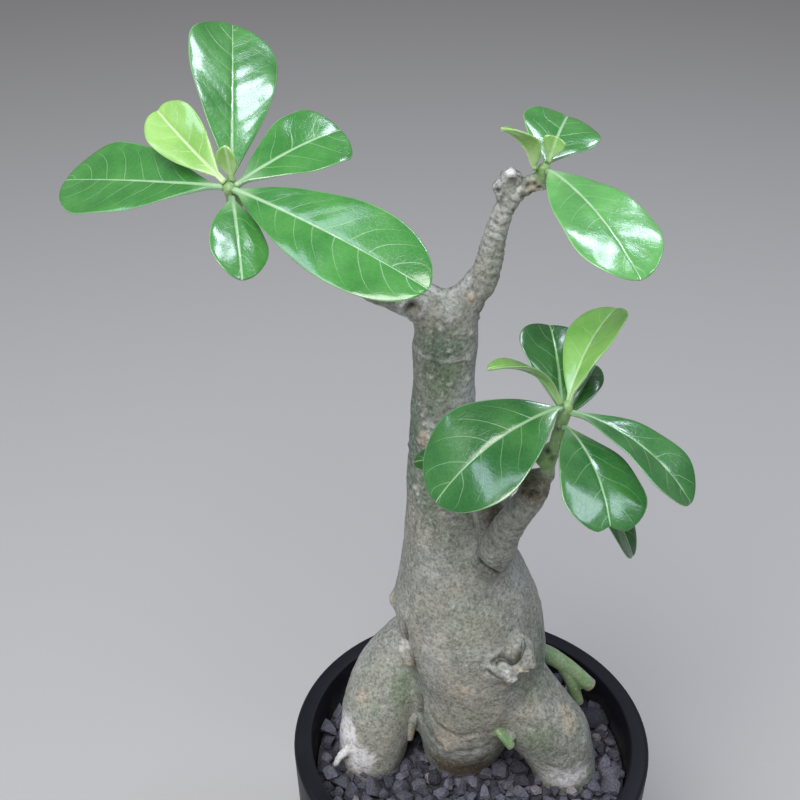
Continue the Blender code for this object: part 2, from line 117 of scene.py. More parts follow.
profile = [(0.0, 0.0)]
profile += arc((foot_radius - foot_bevel, foot_bevel), foot_bevel, -90, 0, 5)
profile += [(outside_at(z), z) for z in np.linspace(foot_bevel, pot_height - lip, 8)[1:-1]]
profile += arc((rim_radius - lip, pot_height - lip), lip, 0, 90, 7)
profile += arc((rim_radius - pot_wall + inner_lip, pot_height - inner_lip), inner_lip, 90, 180, 4)
profile += [(outside_at(pot_wall) - pot_wall, pot_wall + floor_fillet)]
profile += [(outside_at(pot_wall) - pot_wall - floor_fillet, pot_wall), (0.0, pot_wall)]

bm = bmesh.new()
lathe(bm, profile, steps=144)
bmesh.ops.remove_doubles(bm, verts=bm.verts, dist=0.005 * MM)
bmesh.ops.recalc_face_normals(bm, faces=bm.faces)
pot = new_object("pot_wall", built("pot_wall", bm))
for n in range(drain_holes):
    bm = bmesh.new()
    bmesh.ops.create_cone(bm, cap_ends=True, segments=40, radius1=drain_radius, radius2=drain_radius,
                          depth=4 * pot_wall)
    turn = math.tau * n / drain_holes
    bmesh.ops.translate(bm, verts=bm.verts, vec=(drain_ring * math.cos(turn), drain_ring * math.sin(turn), 0))
    drill = new_object("drill", built("drill", bm))
    hole = pot.modifiers.new("hole", "BOOLEAN")
    hole.object = drill
    hole.solver = "MANIFOLD"
    finished(pot)
    bpy.data.objects.remove(drill)
soften(pot.data, 30)


def new_material(name):
    """A material with its nodes, its shader and its links."""
    mat = bpy.data.materials.new(name)
    mat.use_nodes = True
    shader = mat.node_tree.nodes["Principled BSDF"]
    return mat, mat.node_tree, shader


def add(tree, kind, values=None, **settings):
    """A node with its settings, and its inputs set by name or number to a value or to a socket."""
    node = tree.nodes.new(kind)
    for key, value in settings.items():
        setattr(node, key, value)
    for key, value in (values or {}).items():
        if isinstance(value, bpy.types.NodeSocket):
            tree.links.new(value, node.inputs[key])
        else:
            node.inputs[key].default_value = value
    return node


def out(tree, kind, values=None, **settings):
    """The first output of a new node."""
    return add(tree, kind, values, **settings).outputs[0]


def maths(tree, operation, *values):
    return out(tree, "ShaderNodeMath", dict(enumerate(values)), operation=operation)


def times(tree, one, other):
    return maths(tree, "MULTIPLY", one, other)


def blend(tree, share, under, over, how="MIX"):
    """One colour over another by a share."""
    node = add(tree, "ShaderNodeMix", {0: share, 6: under, 7: over}, data_type="RGBA", blend_type=how)
    return node.outputs[2]


def ramp(tree, value, low, high, bottom=0.0, top=1.0):
    """A value eased from bottom to top as it goes from low to high."""
    node = add(tree, "ShaderNodeMapRange", {0: value, 1: low, 2: high, 3: bottom, 4: top},
               interpolation_type="SMOOTHSTEP")
    return node.outputs[0]


def own_place(tree):
    return add(tree, "ShaderNodeTexCoord").outputs["Object"]


def cloud(tree, vector, size, detail=3.0, rough=0.5):
    """Noise whose lumps are about this size in metres, from 0 to 1 round 0.5."""
    node = add(tree, "ShaderNodeTexNoise",
               {"Vector": vector, "Scale": 1 / size, "Detail": detail, "Roughness": rough})
    return node.outputs[0]


def emboss(tree, shader, height, strength, distance):
    """Relief finer than the mesh, from a height that changes over the surface and its depth in metres."""
    node = add(tree, "ShaderNodeBump", {"Strength": strength, "Distance": distance, "Height": height})
    tree.links.new(node.outputs[0], shader.inputs["Normal"])


def sockets(group, inputs, outputs):
    """Adds named inputs and outputs to a node group and gives its input and output nodes."""
    for label, kind, value in inputs:
        made = group.interface.new_socket(label, in_out="INPUT", socket_type=kind)
        if value is not None:
            made.default_value = value
    for label, kind in outputs:
        group.interface.new_socket(label, in_out="OUTPUT", socket_type=kind)
    return group.nodes.new("NodeGroupInput").outputs, group.nodes.new("NodeGroupOutput").inputs


# Dust and lime that settle on a surface near the soil: a share that thins out with height.
dust = bpy.data.node_groups.new("settled_dust", "ShaderNodeTree")
given, put = sockets(dust, [("Vector", "NodeSocketVector", None), ("Level", "NodeSocketFloat", 0.09),
                            ("Reach", "NodeSocketFloat", 0.01), ("Grain", "NodeSocketFloat", 0.0008)],
                     [("Share", "NodeSocketFloat")])
height = add(dust, "ShaderNodeSeparateXYZ", {0: given["Vector"]}).outputs[2]
above = maths(dust, "DIVIDE", maths(dust, "SUBTRACT", height, given["Level"]), given["Reach"])
patches = cloud(dust, given["Vector"], 0.007, 4.0, 0.65)
specks = out(dust, "ShaderNodeTexNoise", {"Vector": given["Vector"], "Detail": 2.0,
                                          "Scale": maths(dust, "DIVIDE", 1.0, given["Grain"])})
fall = maths(dust, "SUBTRACT", 1.0, out(dust, "ShaderNodeClamp", {0: above}))
mixed = times(dust, patches, specks)
dust.links.new(ramp(dust, times(dust, mixed, fall), 0.10, 0.34), put["Share"])

pot_black, tree, shader = new_material("pot_black")
place = own_place(tree)
settled = out(tree, "ShaderNodeGroup", {"Vector": place, "Level": 0.092, "Reach": 0.012, "Grain": 0.0007},
              node_tree=dust)
mottle = cloud(tree, place, 0.018, 4.0, 0.6)
black = blend(tree, mottle, (0.004, 0.004, 0.007, 1), (0.009, 0.009, 0.015, 1))
tree.links.new(blend(tree, times(tree, settled, 0.25), black, (0.16, 0.15, 0.14, 1)),
               shader.inputs["Base Color"])
tree.links.new(ramp(tree, mottle, 0.3, 0.7, 0.46, 0.6), shader.inputs["Roughness"])
shader.inputs["Specular IOR Level"].default_value = 0.3
skin = maths(tree, "ADD", cloud(tree, place, 0.0006, 2.0), cloud(tree, place, 0.006, 2.0))
emboss(tree, shader, skin, 0.12, 0.0002)
pot.data.materials.clear()
pot.data.materials.append(pot_black)
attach(pot, "root")
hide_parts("pot")


# ---------------------------------------------------------------- soil
# Dark potting mix of bark crumbs and pumice. It fills the pot under the grit and shows only through the
# drainage holes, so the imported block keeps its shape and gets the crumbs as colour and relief.

soil_brown, tree, shader = new_material("soil_brown")
place = own_place(tree)
crumbs = add(tree, "ShaderNodeTexVoronoi", {"Vector": place, "Scale": 420.0})
crumb_shade = out(tree, "ShaderNodeSeparateColor", {0: crumbs.outputs["Color"]})
brown_and_painted_shade = blend(tree, crumb_shade, (0.018, 0.011, 0.007, 1), (0.085, 0.055, 0.035, 1))
tree.links.new(blend(tree, ramp(tree, crumb_shade, 0.93, 0.95), brown_and_painted_shade, (0.42, 0.40, 0.36, 1)),
               shader.inputs["Base Color"])
shader.inputs["Roughness"].default_value = 0.95
emboss(tree, shader, maths(tree, "SUBTRACT", 1.0, crumbs.outputs["Distance"]), 0.9, 0.001)
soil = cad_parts["soil"]
soil.data.materials.clear()
soil.data.materials.append(soil_brown)


# ---------------------------------------------------------------- grit
# A top dressing of broken lava, mostly 4 to 6 mm, with a few larger stones. Two loose layers lie on a thin
# dark bed of fines, and the grains stop where the roots come through.

grit_low, grit_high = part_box("gravel")
grit_reach = grit_high.x - 0.4 * MM
bed_top = 91.3 * MM
STONE_SHAPES = 9
STONE_POINTS = 19
STONE_SQUASH = (0.5, 0.42, 0.36)
scatter = bpy.data.node_groups.new("scattered_grit", "GeometryNodeTree")
scatter.is_modifier = True
given, put = sockets(scatter, [
    ("Bed", "NodeSocketGeometry", None), ("Roots", "NodeSocketObject", None),
    ("Spacing", "NodeSocketFloat", 4.2 * MM), ("Grain", "NodeSocketFloat", 5.2 * MM),
    ("Level", "NodeSocketFloat", 92.5 * MM), ("Unevenness", "NodeSocketFloat", 1.0 * MM),
    ("Clearance", "NodeSocketFloat", 1.2 * MM), ("Seed", "NodeSocketInt", 1),
    ("Material", "NodeSocketMaterial", None)], [("Grit", "NodeSocketGeometry")])


def thrown(low, high, seed):
    """A random number, or a random vector, between two limits."""
    kind, first = ("FLOAT_VECTOR", 0) if isinstance(low, tuple) else ("FLOAT", 2)
    limits = {first: low, first + 1: high, "Seed": seed}
    node = add(scatter, "FunctionNodeRandomValue", limits, data_type=kind)
    return node.outputs[first // 2]


# The shapes of the stones: hulls round a few points thrown in a squashed ball, each by its own seed.
shapes = scatter.nodes.new("GeometryNodeJoinGeometry")
for n in range(STONE_SHAPES):
    way_out = out(scatter, "ShaderNodeVectorMath", {0: thrown((-1, -1, -1), (1, 1, 1), 100 + n)},
                  operation="NORMALIZE")
    spot = out(scatter, "ShaderNodeVectorMath", {0: way_out, 3: thrown(0.8, 1.0, 200 + n)},
               operation="SCALE")
    cluster = out(scatter, "GeometryNodePoints", {0: STONE_POINTS, 1: spot})
    stone = out(scatter, "GeometryNodeConvexHull", {0: cluster})
    flat = out(scatter, "GeometryNodeTransform", {0: stone, "Scale": STONE_SQUASH})
    scatter.links.new(out(scatter, "GeometryNodeGeometryToInstance", {0: flat}), shapes.inputs[0])
# Spots for the stones, less those in the wood or too close to it.
spots = out(scatter, "GeometryNodeDistributePointsOnFaces",
            {"Mesh": given["Bed"], "Distance Min": given["Spacing"], "Density Max": 400000.0,
             "Density Factor": 1.0, "Seed": given["Seed"]}, distribute_method="POISSON")
wood_shape = add(scatter, "GeometryNodeObjectInfo", {"Object": given["Roots"]}).outputs["Geometry"]
near = add(scatter, "GeometryNodeProximity", {"Geometry": wood_shape}, target_element="FACES")
here = scatter.nodes.new("GeometryNodeInputPosition").outputs[0]
face_way = scatter.nodes.new("GeometryNodeInputNormal").outputs[0]
wood_way = out(scatter, "GeometryNodeSampleNearestSurface", {"Mesh": wood_shape, "Value": face_way},
               data_type="FLOAT_VECTOR")
off = out(scatter, "ShaderNodeVectorMath", {0: here, 1: near.outputs["Position"]},
          operation="SUBTRACT")
outward = add(scatter, "ShaderNodeVectorMath", {0: off, 1: wood_way},
              operation="DOT_PRODUCT").outputs["Value"]
inside = out(scatter, "FunctionNodeCompare", {0: outward, 1: 0.0}, operation="LESS_THAN")
close = out(scatter, "FunctionNodeCompare", {0: near.outputs["Distance"], 1: given["Clearance"]},
            operation="LESS_THAN")
clash = out(scatter, "FunctionNodeBooleanMath", {0: inside, 1: close}, operation="OR")
free = out(scatter, "GeometryNodeDeleteGeometry", {0: spots, 1: clash}, domain="POINT")
# Each stone is raised, tipped and turned a little, and a few are much larger than the rest.
rise = maths(scatter, "ADD", given["Level"], times(scatter, thrown(-1.0, 1.0, 5), given["Unevenness"]))
column = out(scatter, "ShaderNodeCombineXYZ", {2: rise})
laid = out(scatter, "GeometryNodeSetPosition", {0: free, "Offset": column})
turns = thrown((-0.7, -0.7, 0.0), (0.7, 0.7, 6.283), 6)
larger = times(scatter, maths(scatter, "POWER", thrown(0.0, 1.0, 7), 3.0), 0.75)
grown = times(scatter, given["Grain"], maths(scatter, "ADD", 0.78, larger))
placed = out(scatter, "GeometryNodeInstanceOnPoints",
             {"Points": laid, "Instance": shapes.outputs[0], "Pick Instance": True, "Rotation": turns,
              "Scale": grown})
toned = out(scatter, "GeometryNodeStoreNamedAttribute",
            {0: placed, "Name": "tone", "Value": thrown(0.0, 1.0, 8)}, data_type="FLOAT", domain="INSTANCE")
solid = out(scatter, "GeometryNodeRealizeInstances", {0: toned})
scatter.links.new(out(scatter, "GeometryNodeSetMaterial", {0: solid, "Material": given["Material"]}),
                  put["Grit"])

grit_grey, tree, shader = new_material("grit_grey")
place = own_place(tree)
own = add(tree, "ShaderNodeAttribute", attribute_name="tone").outputs["Fac"]
pores = add(tree, "ShaderNodeTexVoronoi", {"Vector": place, "Scale": 1500.0}, feature="SMOOTH_F1")
grain = cloud(tree, place, 0.0009, 5.0, 0.7)
dark_stone = blend(tree, own, (0.032, 0.031, 0.042, 1), (0.125, 0.122, 0.155, 1))
pale_stone = blend(tree, ramp(tree, own, 0.955, 0.975), dark_stone, (0.22, 0.20, 0.205, 1))
stone = blend(tree, ramp(tree, grain, 0.35, 0.7), pale_stone, (0.9, 0.9, 0.95, 1), "OVERLAY")
settled = out(tree, "ShaderNodeGroup", {"Vector": place, "Level": 0.0905, "Reach": 0.005, "Grain": 0.0006},
              node_tree=dust)
tree.links.new(blend(tree, times(tree, settled, 0.25), stone, (0.16, 0.15, 0.14, 1)),
               shader.inputs["Base Color"])
shader.inputs["Roughness"].default_value = 0.93
pits = maths(tree, "ADD", grain, times(tree, pores.outputs["Distance"], 0.8))
emboss(tree, shader, pits, 1.0, 0.0007)

roots = new_object("roots_shape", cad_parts["caudex"].data.copy())
disc = bmesh.new()
bmesh.ops.create_circle(disc, cap_ends=True, cap_tris=True, segments=96, radius=grit_reach - 2.0 * MM)
disc_mesh = built("grit_disc", disc)

layers = []
lower = dict(Spacing=3.6 * MM, Grain=5.6 * MM, Level=91.9 * MM, Unevenness=0.5 * MM, Clearance=0.4 * MM,
             Seed=3)
upper = dict(Spacing=4.3 * MM, Grain=6.4 * MM, Level=94.1 * MM, Unevenness=1.0 * MM, Clearance=1.3 * MM,
             Seed=8)
for settings in (lower, upper):
    layer = new_object("grit_layer", disc_mesh.copy())
    modifier = layer.modifiers.new("scatter", "NODES")
    modifier.node_group = scatter
    values = {**settings, "Roots": roots, "Material": grit_grey}
    for item in scatter.interface.items_tree:
        if item.in_out == "INPUT" and item.name in values:
            modifier[item.identifier] = values[item.name]
    layers.append(finished(layer))

# One broad flat stone lies at the right, under the pruned fork.
slab_middle = Vector((43.8, 16.5, 94.6)) * MM
slab_radii = Vector((6.4, 6.0, 2.6)) * MM
slab_points = 26
random.seed(12)
slab = bmesh.new()
for n in range(slab_points):
    slab.verts.new(slab_middle + slab_radii * Vector([random.gauss(0, 1) for axis in range(3)]).normalized())
hull = bmesh.ops.convex_hull(slab, input=slab.verts)
bmesh.ops.delete(slab, geom=hull["geom_interior"], context="VERTS")

bm = bmesh.new()
bm.from_mesh(built("slab", slab))
for layer in layers:
    bm.from_mesh(layer.data)
bed_foot = grit_reach - 0.2 * MM
lathe(bm, [(0.0, grit_low.z), (bed_foot, grit_low.z), (grit_reach, bed_top), (0.0, bed_top)], steps=96)
bmesh.ops.recalc_face_normals(bm, faces=bm.faces)
for vert in bm.verts:
    vert.co.xy *= min(1.0, grit_high.x / max(vert.co.xy.length, MM))
    vert.co.z = max(vert.co.z, grit_low.z)
grit = new_object("grit", built("grit", bm))
soften(grit.data, 42)
grit.data.materials.append(grit_grey)
for layer in layers:
    bpy.data.objects.remove(layer)
bpy.data.objects.remove(roots)
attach(grit, "root")
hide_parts("gravel")


# ---------------------------------------------------------------- wood
# One living body: a swollen trunk on spread root legs, a fork of two branches, a side branch, and the stubs
# left by pruning. Its thin bark is finely speckled. It wrinkles into rings on the branches, splits where it
# is pinched, and is green with moss, chalky on the left leg and cream or brown where it is worn. Painted
# shade darkens its grooves, cracks, hollows and crotch, the upper trunk under the leaves and the body's right
# side, and pale bluish paint stands in for light on the trunk and body.

BARK_VOXEL = 0.82 * MM
# Lines along the middles of the limbs, and along the cracks and creases: x, y, z in mm.
UPPER_BRANCH = [(-8.2, 4, 264), (-4.8, 4, 267.6), (-1.2, 4, 274.5), (1, 4, 283), (2.3, 4, 289),
                (4.2, 4, 294.5), (6.8, 4, 298.2), (10, 4, 300.3), (12.4, 4, 301.4)]
UPPER_STUBS = [[(4, 4, 296.5), (5, 4, 304.5)], [(3, 3.8, 297), (1.8, 3, 301)]]
LEFT_BRANCH = [(-19, 3, 267), (-32, -3, 275), (-45, -8.5, 287.2), (-56, -11, 297.2), (-63.2, -9.5, 300.2)]
SIDE_BRANCH = [(2.2, -7, 184), (3.8, -13, 191), (6.2, -17, 202), (8.8, -20, 211), (12.2, -21.5, 218.5),
               (13.5, -21.9, 223.5)]
SIDE_SHOOT = [(17.0, -23.2, 232), (19.3, -28, 251.5)]
TOP_SHOOT = [(12.9, 3.6, 302.6), (13.4, 2.6, 305.5)]
LEFT_SHOOT = [(-65.5, -10, 302.5), (-66.2, -12.8, 306.8)]
PRUNED_FORK = [[(20, 11.5, 130.5), (25.5, 11.5, 129.5), (33, 11.5, 123.5), (40.5, 11.5, 115.8)],
               [(30, 11.5, 126), (34.5, 10.8, 117), (36.7, 10.2, 110)]]
CLEFT_TWIG = [(7.8, -14.2, 119.6), (12.0, -15.8, 115.4)]
BRANCH_CRACK = [(-1.5, -14.5, 191), (-0.3, -16.3, 190.9), (0.8, -17.7, 190.4), (2.9, -18.3, 189.3),
                (5.3, -16.4, 186.4), (7.6, -12, 182.6)]
STUB_CRACK = [(4.8, -19.4, 154.6), (6.6, -18.6, 155.6), (8, -18.4, 155.7), (9.3, -18.6, 155.3),
              (10.3, -19.4, 154.9), (11.6, -18.9, 155.3), (12.2, -18.8, 156.9), (12.8, -18.3, 158.4),
              (13.5, -17.5, 159.5), (14, -16.6, 160.6)]
STUB_CREASE = [(2.8, -19.8, 151.4), (4.6, -20.8, 150.6), (6.7, -21.2, 149.3)]
LEG_CREASE = [(-21.8, -6, 158), (-22, -7.5, 151), (-20.8, -7.5, 143), (-19.5, -7, 134), (-18.5, -5.5, 125),
              (-17.8, -4, 116)]
FORK_CALLUS = [(-18.5, 1, 271.8), (-13, 1.5, 270.6), (-8, 1.8, 271), (-5.6, 2, 274)]
LOWER_CREASES = [[(-15.5, -10, 125), (-12.2, -12, 121), (-5.2, -15.4, 118.8), (0, -16, 120.5)],
                 [(-15, -8, 115.5), (-11.4, -11.5, 112), (-2.4, -15.2, 112), (5, -13.5, 114)],
                 [(-13, -8, 108), (-6, -12.5, 105), (3, -12.5, 106)],
                 [(-18, -12, 139.5), (-15.6, -14.5, 137), (-14, -15, 133.5)],
                 [(-18.5, -11, 136.5), (-16.3, -13.8, 134), (-14.5, -14.5, 131)],
                 [(-8.5, -20, 143.5), (-4, -20.5, 142.5), (-1, -20.5, 143)],
                 [(-8.5, -19.5, 140), (-4.5, -20, 139), (-1.5, -20, 139.6)],
                 [(14, -14, 124), (20, -14, 122), (25, -12, 124)], [(29, -12, 117), (35, -9, 114)],
                 [(28, -13, 111), (36, -10, 108)], [(24, -15.5, 106), (34, -14, 102)]]
NECK = [(9.2, 3.4, 300.2), (12.4, 3.6, 301.4)]
SHOOT_FOOT = [(17.5, -22.9, 235.0), (16.0, -23.4, 233.2), (13.8, -24.0, 231.6)]
CROTCH = [(3.2, -8.5, 206), (4.2, -12.5, 196), (2.4, -14.5, 191)]
# The middle of the upper trunk, in x and y, and how far out its bark lies at most.
TRUNK_MIDDLE = (-11.5, 4)
TRUNK_REACH = 16
KNOTHOLE = (-20.4, -2.9, 267.8)
# The side branch was sawn off askew: the middle of the cut, the way it faces and how far it reaches.
BRANCH_CUT = (13.0, -23.6, 223.2)
CUT_WAY = (-0.12, -0.58, 0.81)
CUT_REACH = 7.5
# The bare ends of the pruned twigs: place and reach.
CUT_ENDS = [((41.6, 11.5, 114.7), 3.3), ((37.6, 9.9, 108.0), 3.0), ((12.6, -16, 114.8), 2.2)]


def near_line(at, line):
    """How far points are from a line through these places, and how far along it the nearest place is."""
    line = np.array(line, float)
    apart, along, walked = np.full(len(at), np.inf), np.zeros(len(at)), 0.0
    for start, end in zip(line, line[1:]):
        run = end - start
        length = np.linalg.norm(run)
        share = np.clip((at - start) @ run / length ** 2, 0, 1)
        gap = np.linalg.norm(at - start - share[:, None] * run, axis=1)
        along = np.where(gap < apart, walked + share * length, along)
        apart = np.minimum(apart, gap)
        walked += length
    return apart, along


def ease(value):
    value = np.clip(value, 0, 1)
    return value * value * (3 - 2 * value)


def dab(at, place, reach):
    """1 at a place, easing to 0 at this distance from it."""
    return ease(1 - np.linalg.norm((at - np.array(place, float)) / np.array(reach, float), axis=1))


def beside(at, lines, reach):
    """1 on any of these lines, easing to 0 at this distance from them."""
    return np.max([ease(1 - near_line(at, line)[0] / reach) for line in lines], axis=0)


def nearest_to(at, place):
    return at[np.argmin(np.linalg.norm(at - place, axis=1))]


def lumps(at, size, seed):
    """Smooth noise from -1 to 1 with lumps of this size in mm, or of these sizes along x, y and z."""
    return np.array([noise.noise(Vector(p)) for p in (at / np.array(size, float) + 17.3 * seed)])


def vertex_array(mesh, kind="vertices", what="co"):
    values = np.empty(len(getattr(mesh, kind)) * 3, dtype=np.float32)
    getattr(mesh, kind).foreach_get(what, values)
    return values.reshape(-1, 3).astype(float)


def relaxed(obj, factor, iterations):
    relax = obj.modifiers.new("relax", "SMOOTH")
    relax.factor = factor
    relax.iterations = iterations
    finished(obj)


wood_bm = bmesh.new()
wood_bm.from_mesh(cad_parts["caudex"].data)
bmesh.ops.remove_doubles(wood_bm, verts=wood_bm.verts, dist=0.001 * MM)
wood = new_object("wood", built("wood", wood_bm))
remesh = wood.modifiers.new("skin", "REMESH")
remesh.mode = "VOXEL"
remesh.voxel_size = BARK_VOXEL
relaxed(wood, 0.5, 3)

# The skin is made finer where the bark has its smallest marks.
at = vertex_array(wood.data) / MM
above_cut = [BRANCH_CUT, BRANCH_CUT + np.array([0, 0, 1])]
fine = beside(at, [UPPER_BRANCH[3:], *UPPER_STUBS], 9) + beside(at, [BRANCH_CRACK, STUB_CRACK, above_cut], 7)
fine += dab(at, KNOTHOLE, 7) + beside(at, [CLEFT_TWIG, *PRUNED_FORK], 5) + dab(at, (14.5, -19, 154), 8)
fine = fine > 0.05
wood_bm = bmesh.new()
wood_bm.from_mesh(wood.data)
wood_bm.verts.ensure_lookup_table()
edges = [edge for edge in wood_bm.edges if fine[edge.verts[0].index] and fine[edge.verts[1].index]]
bmesh.ops.subdivide_edges(wood_bm, edges=edges, cuts=1, use_grid_fill=True)
wood_bm.to_mesh(wood.data)
wood_bm.free()
relaxed(wood, 0.4, 1)

# Twigs, fine roots and the rims of old cuts: x, y, z and radius along the middle, in mm.
TWIGS = [
    [(20, 11.5, 131, 3.1), (25.5, 11.5, 129.5, 3.0), (33, 11.5, 123.5, 2.7), (40.8, 11.5, 115.5, 2.4)],
    [(29.5, 11.3, 127, 2.3), (32.8, 10.9, 121, 2.2), (35, 10.6, 115.5, 2.1), (37.2, 10.0, 109.0, 1.9)],
    [(6.4, -12.4, 120.9, 0.8), (7.8, -14.2, 119.6, 1.0), (9.7, -15.3, 117.8, 1.2), (12.0, -15.8, 115.4, 1.6)],
    [(-22.8, -6.5, 154.4, 1.2), (-22.6, -9.2, 153.2, 2.1), (-21.7, -11.0, 150.8, 2.1),
     (-20.6, -11.8, 147.6, 1.3)],
    [(-18.2, 1, 115, 1.9), (-19.4, -0.6, 112, 2.0), (-20.2, -1.2, 108.5, 1.6), (-20.6, -1.6, 104, 1.3)],
    [(13.9, -14.9, 161.0, 0.6), (14.3, -16.8, 159.0, 1.4), (14.7, -18.6, 156.8, 2.3),
     (14.9, -19.3, 153.8, 3.0)],
    [(5.0, -17.0, 153.6, 1.8), (7.0, -18.8, 153.2, 2.7), (9.0, -20.2, 151.6, 3.1), (10.6, -20.2, 149.8, 2.6)],
    [(3.9, 4, 295.5, 2.3), (4.5, 4, 298.6, 2.15), (4.9, 3.9, 300.6, 2.5), (5.1, 3.8, 301.9, 2.95),
     (5.2, 3.8, 303.2, 2.7)],
    [(4.0, 3.6, 298.2, 1.5), (2.6, 3.2, 299.6, 1.7), (1.6, 2.9, 300.6, 1.6)],
    [(17.6, -23, 236.0, 2.2), (16.0, -23.4, 233.4, 2.7), (13.8, -24.0, 231.4, 2.1)],
    [(-2.0, -1.5, 216, 3.5), (1.5, -4.5, 208, 5.6), (3.6, -7.5, 200, 5.8), (4.6, -10.5, 192, 5.0)],
    [(-20.5, 4.0, 157.2, 3.3), (-23.4, 3.7, 159.4, 3.3), (-25.4, 3.5, 160.6, 2.7)],
]


def add_twig(bm, stations, sides=22, steps=6):
    """A twig through these stations, with a blunt cut end."""
    rows = []
    stations = [np.array(station, float) for station in stations]
    ends = [2 * stations[0] - stations[1], *stations, 2 * stations[-1] - stations[-2]]
    for before, start, end, after in zip(ends, ends[1:], ends[2:], ends[3:]):
        for t in np.linspace(0, 1, steps, endpoint=False):
            rows.append(0.5 * (2 * start + (end - before) * t
                               + (2 * before - 5 * start + 4 * end - after) * t ** 2
                               + (3 * start - before - 3 * end + after) * t ** 3))
    rows.append(stations[-1])
    run = rows[-1][:3] - rows[-2][:3]
    rows.append(np.append(rows[-1][:3] + 0.35 * run / np.linalg.norm(run), rows[-1][3] * 0.84))
    rings, side = [], np.array([0.3, 1.0, 0.2])
    turns = [math.tau * k / sides for k in range(sides)]
    for n, row in enumerate(rows):
        run = rows[min(n + 1, len(rows) - 1)][:3] - rows[max(n - 1, 0)][:3]
        run /= np.linalg.norm(run)
        side = side - run * (side @ run)
        side /= np.linalg.norm(side)
        up = np.cross(run, side)
        rings.append([bm.verts.new(MM * (row[:3] + row[3] * (math.cos(t) * side + math.sin(t) * up)))
                      for t in turns])
    for ring, after in zip(rings, rings[1:]):
        for k in range(sides):
            bm.faces.new((ring[k], ring[(k + 1) % sides], after[(k + 1) % sides], after[k]))
    for ring in (rings[0], rings[-1]):
        middle = bm.verts.new(sum((vert.co for vert in ring), Vector()) / sides)
        for k in range(sides):
            bm.faces.new((ring[k], ring[(k + 1) % sides], middle))


wood_bm = bmesh.new()
for stations in TWIGS:
    add_twig(wood_bm, stations)
bmesh.ops.recalc_face_normals(wood_bm, faces=wood_bm.faces)
wood_bm.from_mesh(wood.data)
wood_bm.to_mesh(wood.data)
wood_bm.free()

at = vertex_array(wood.data) / MM
way = vertex_array(wood.data, "vertex_normals", "vector")
height = at[:, 2]

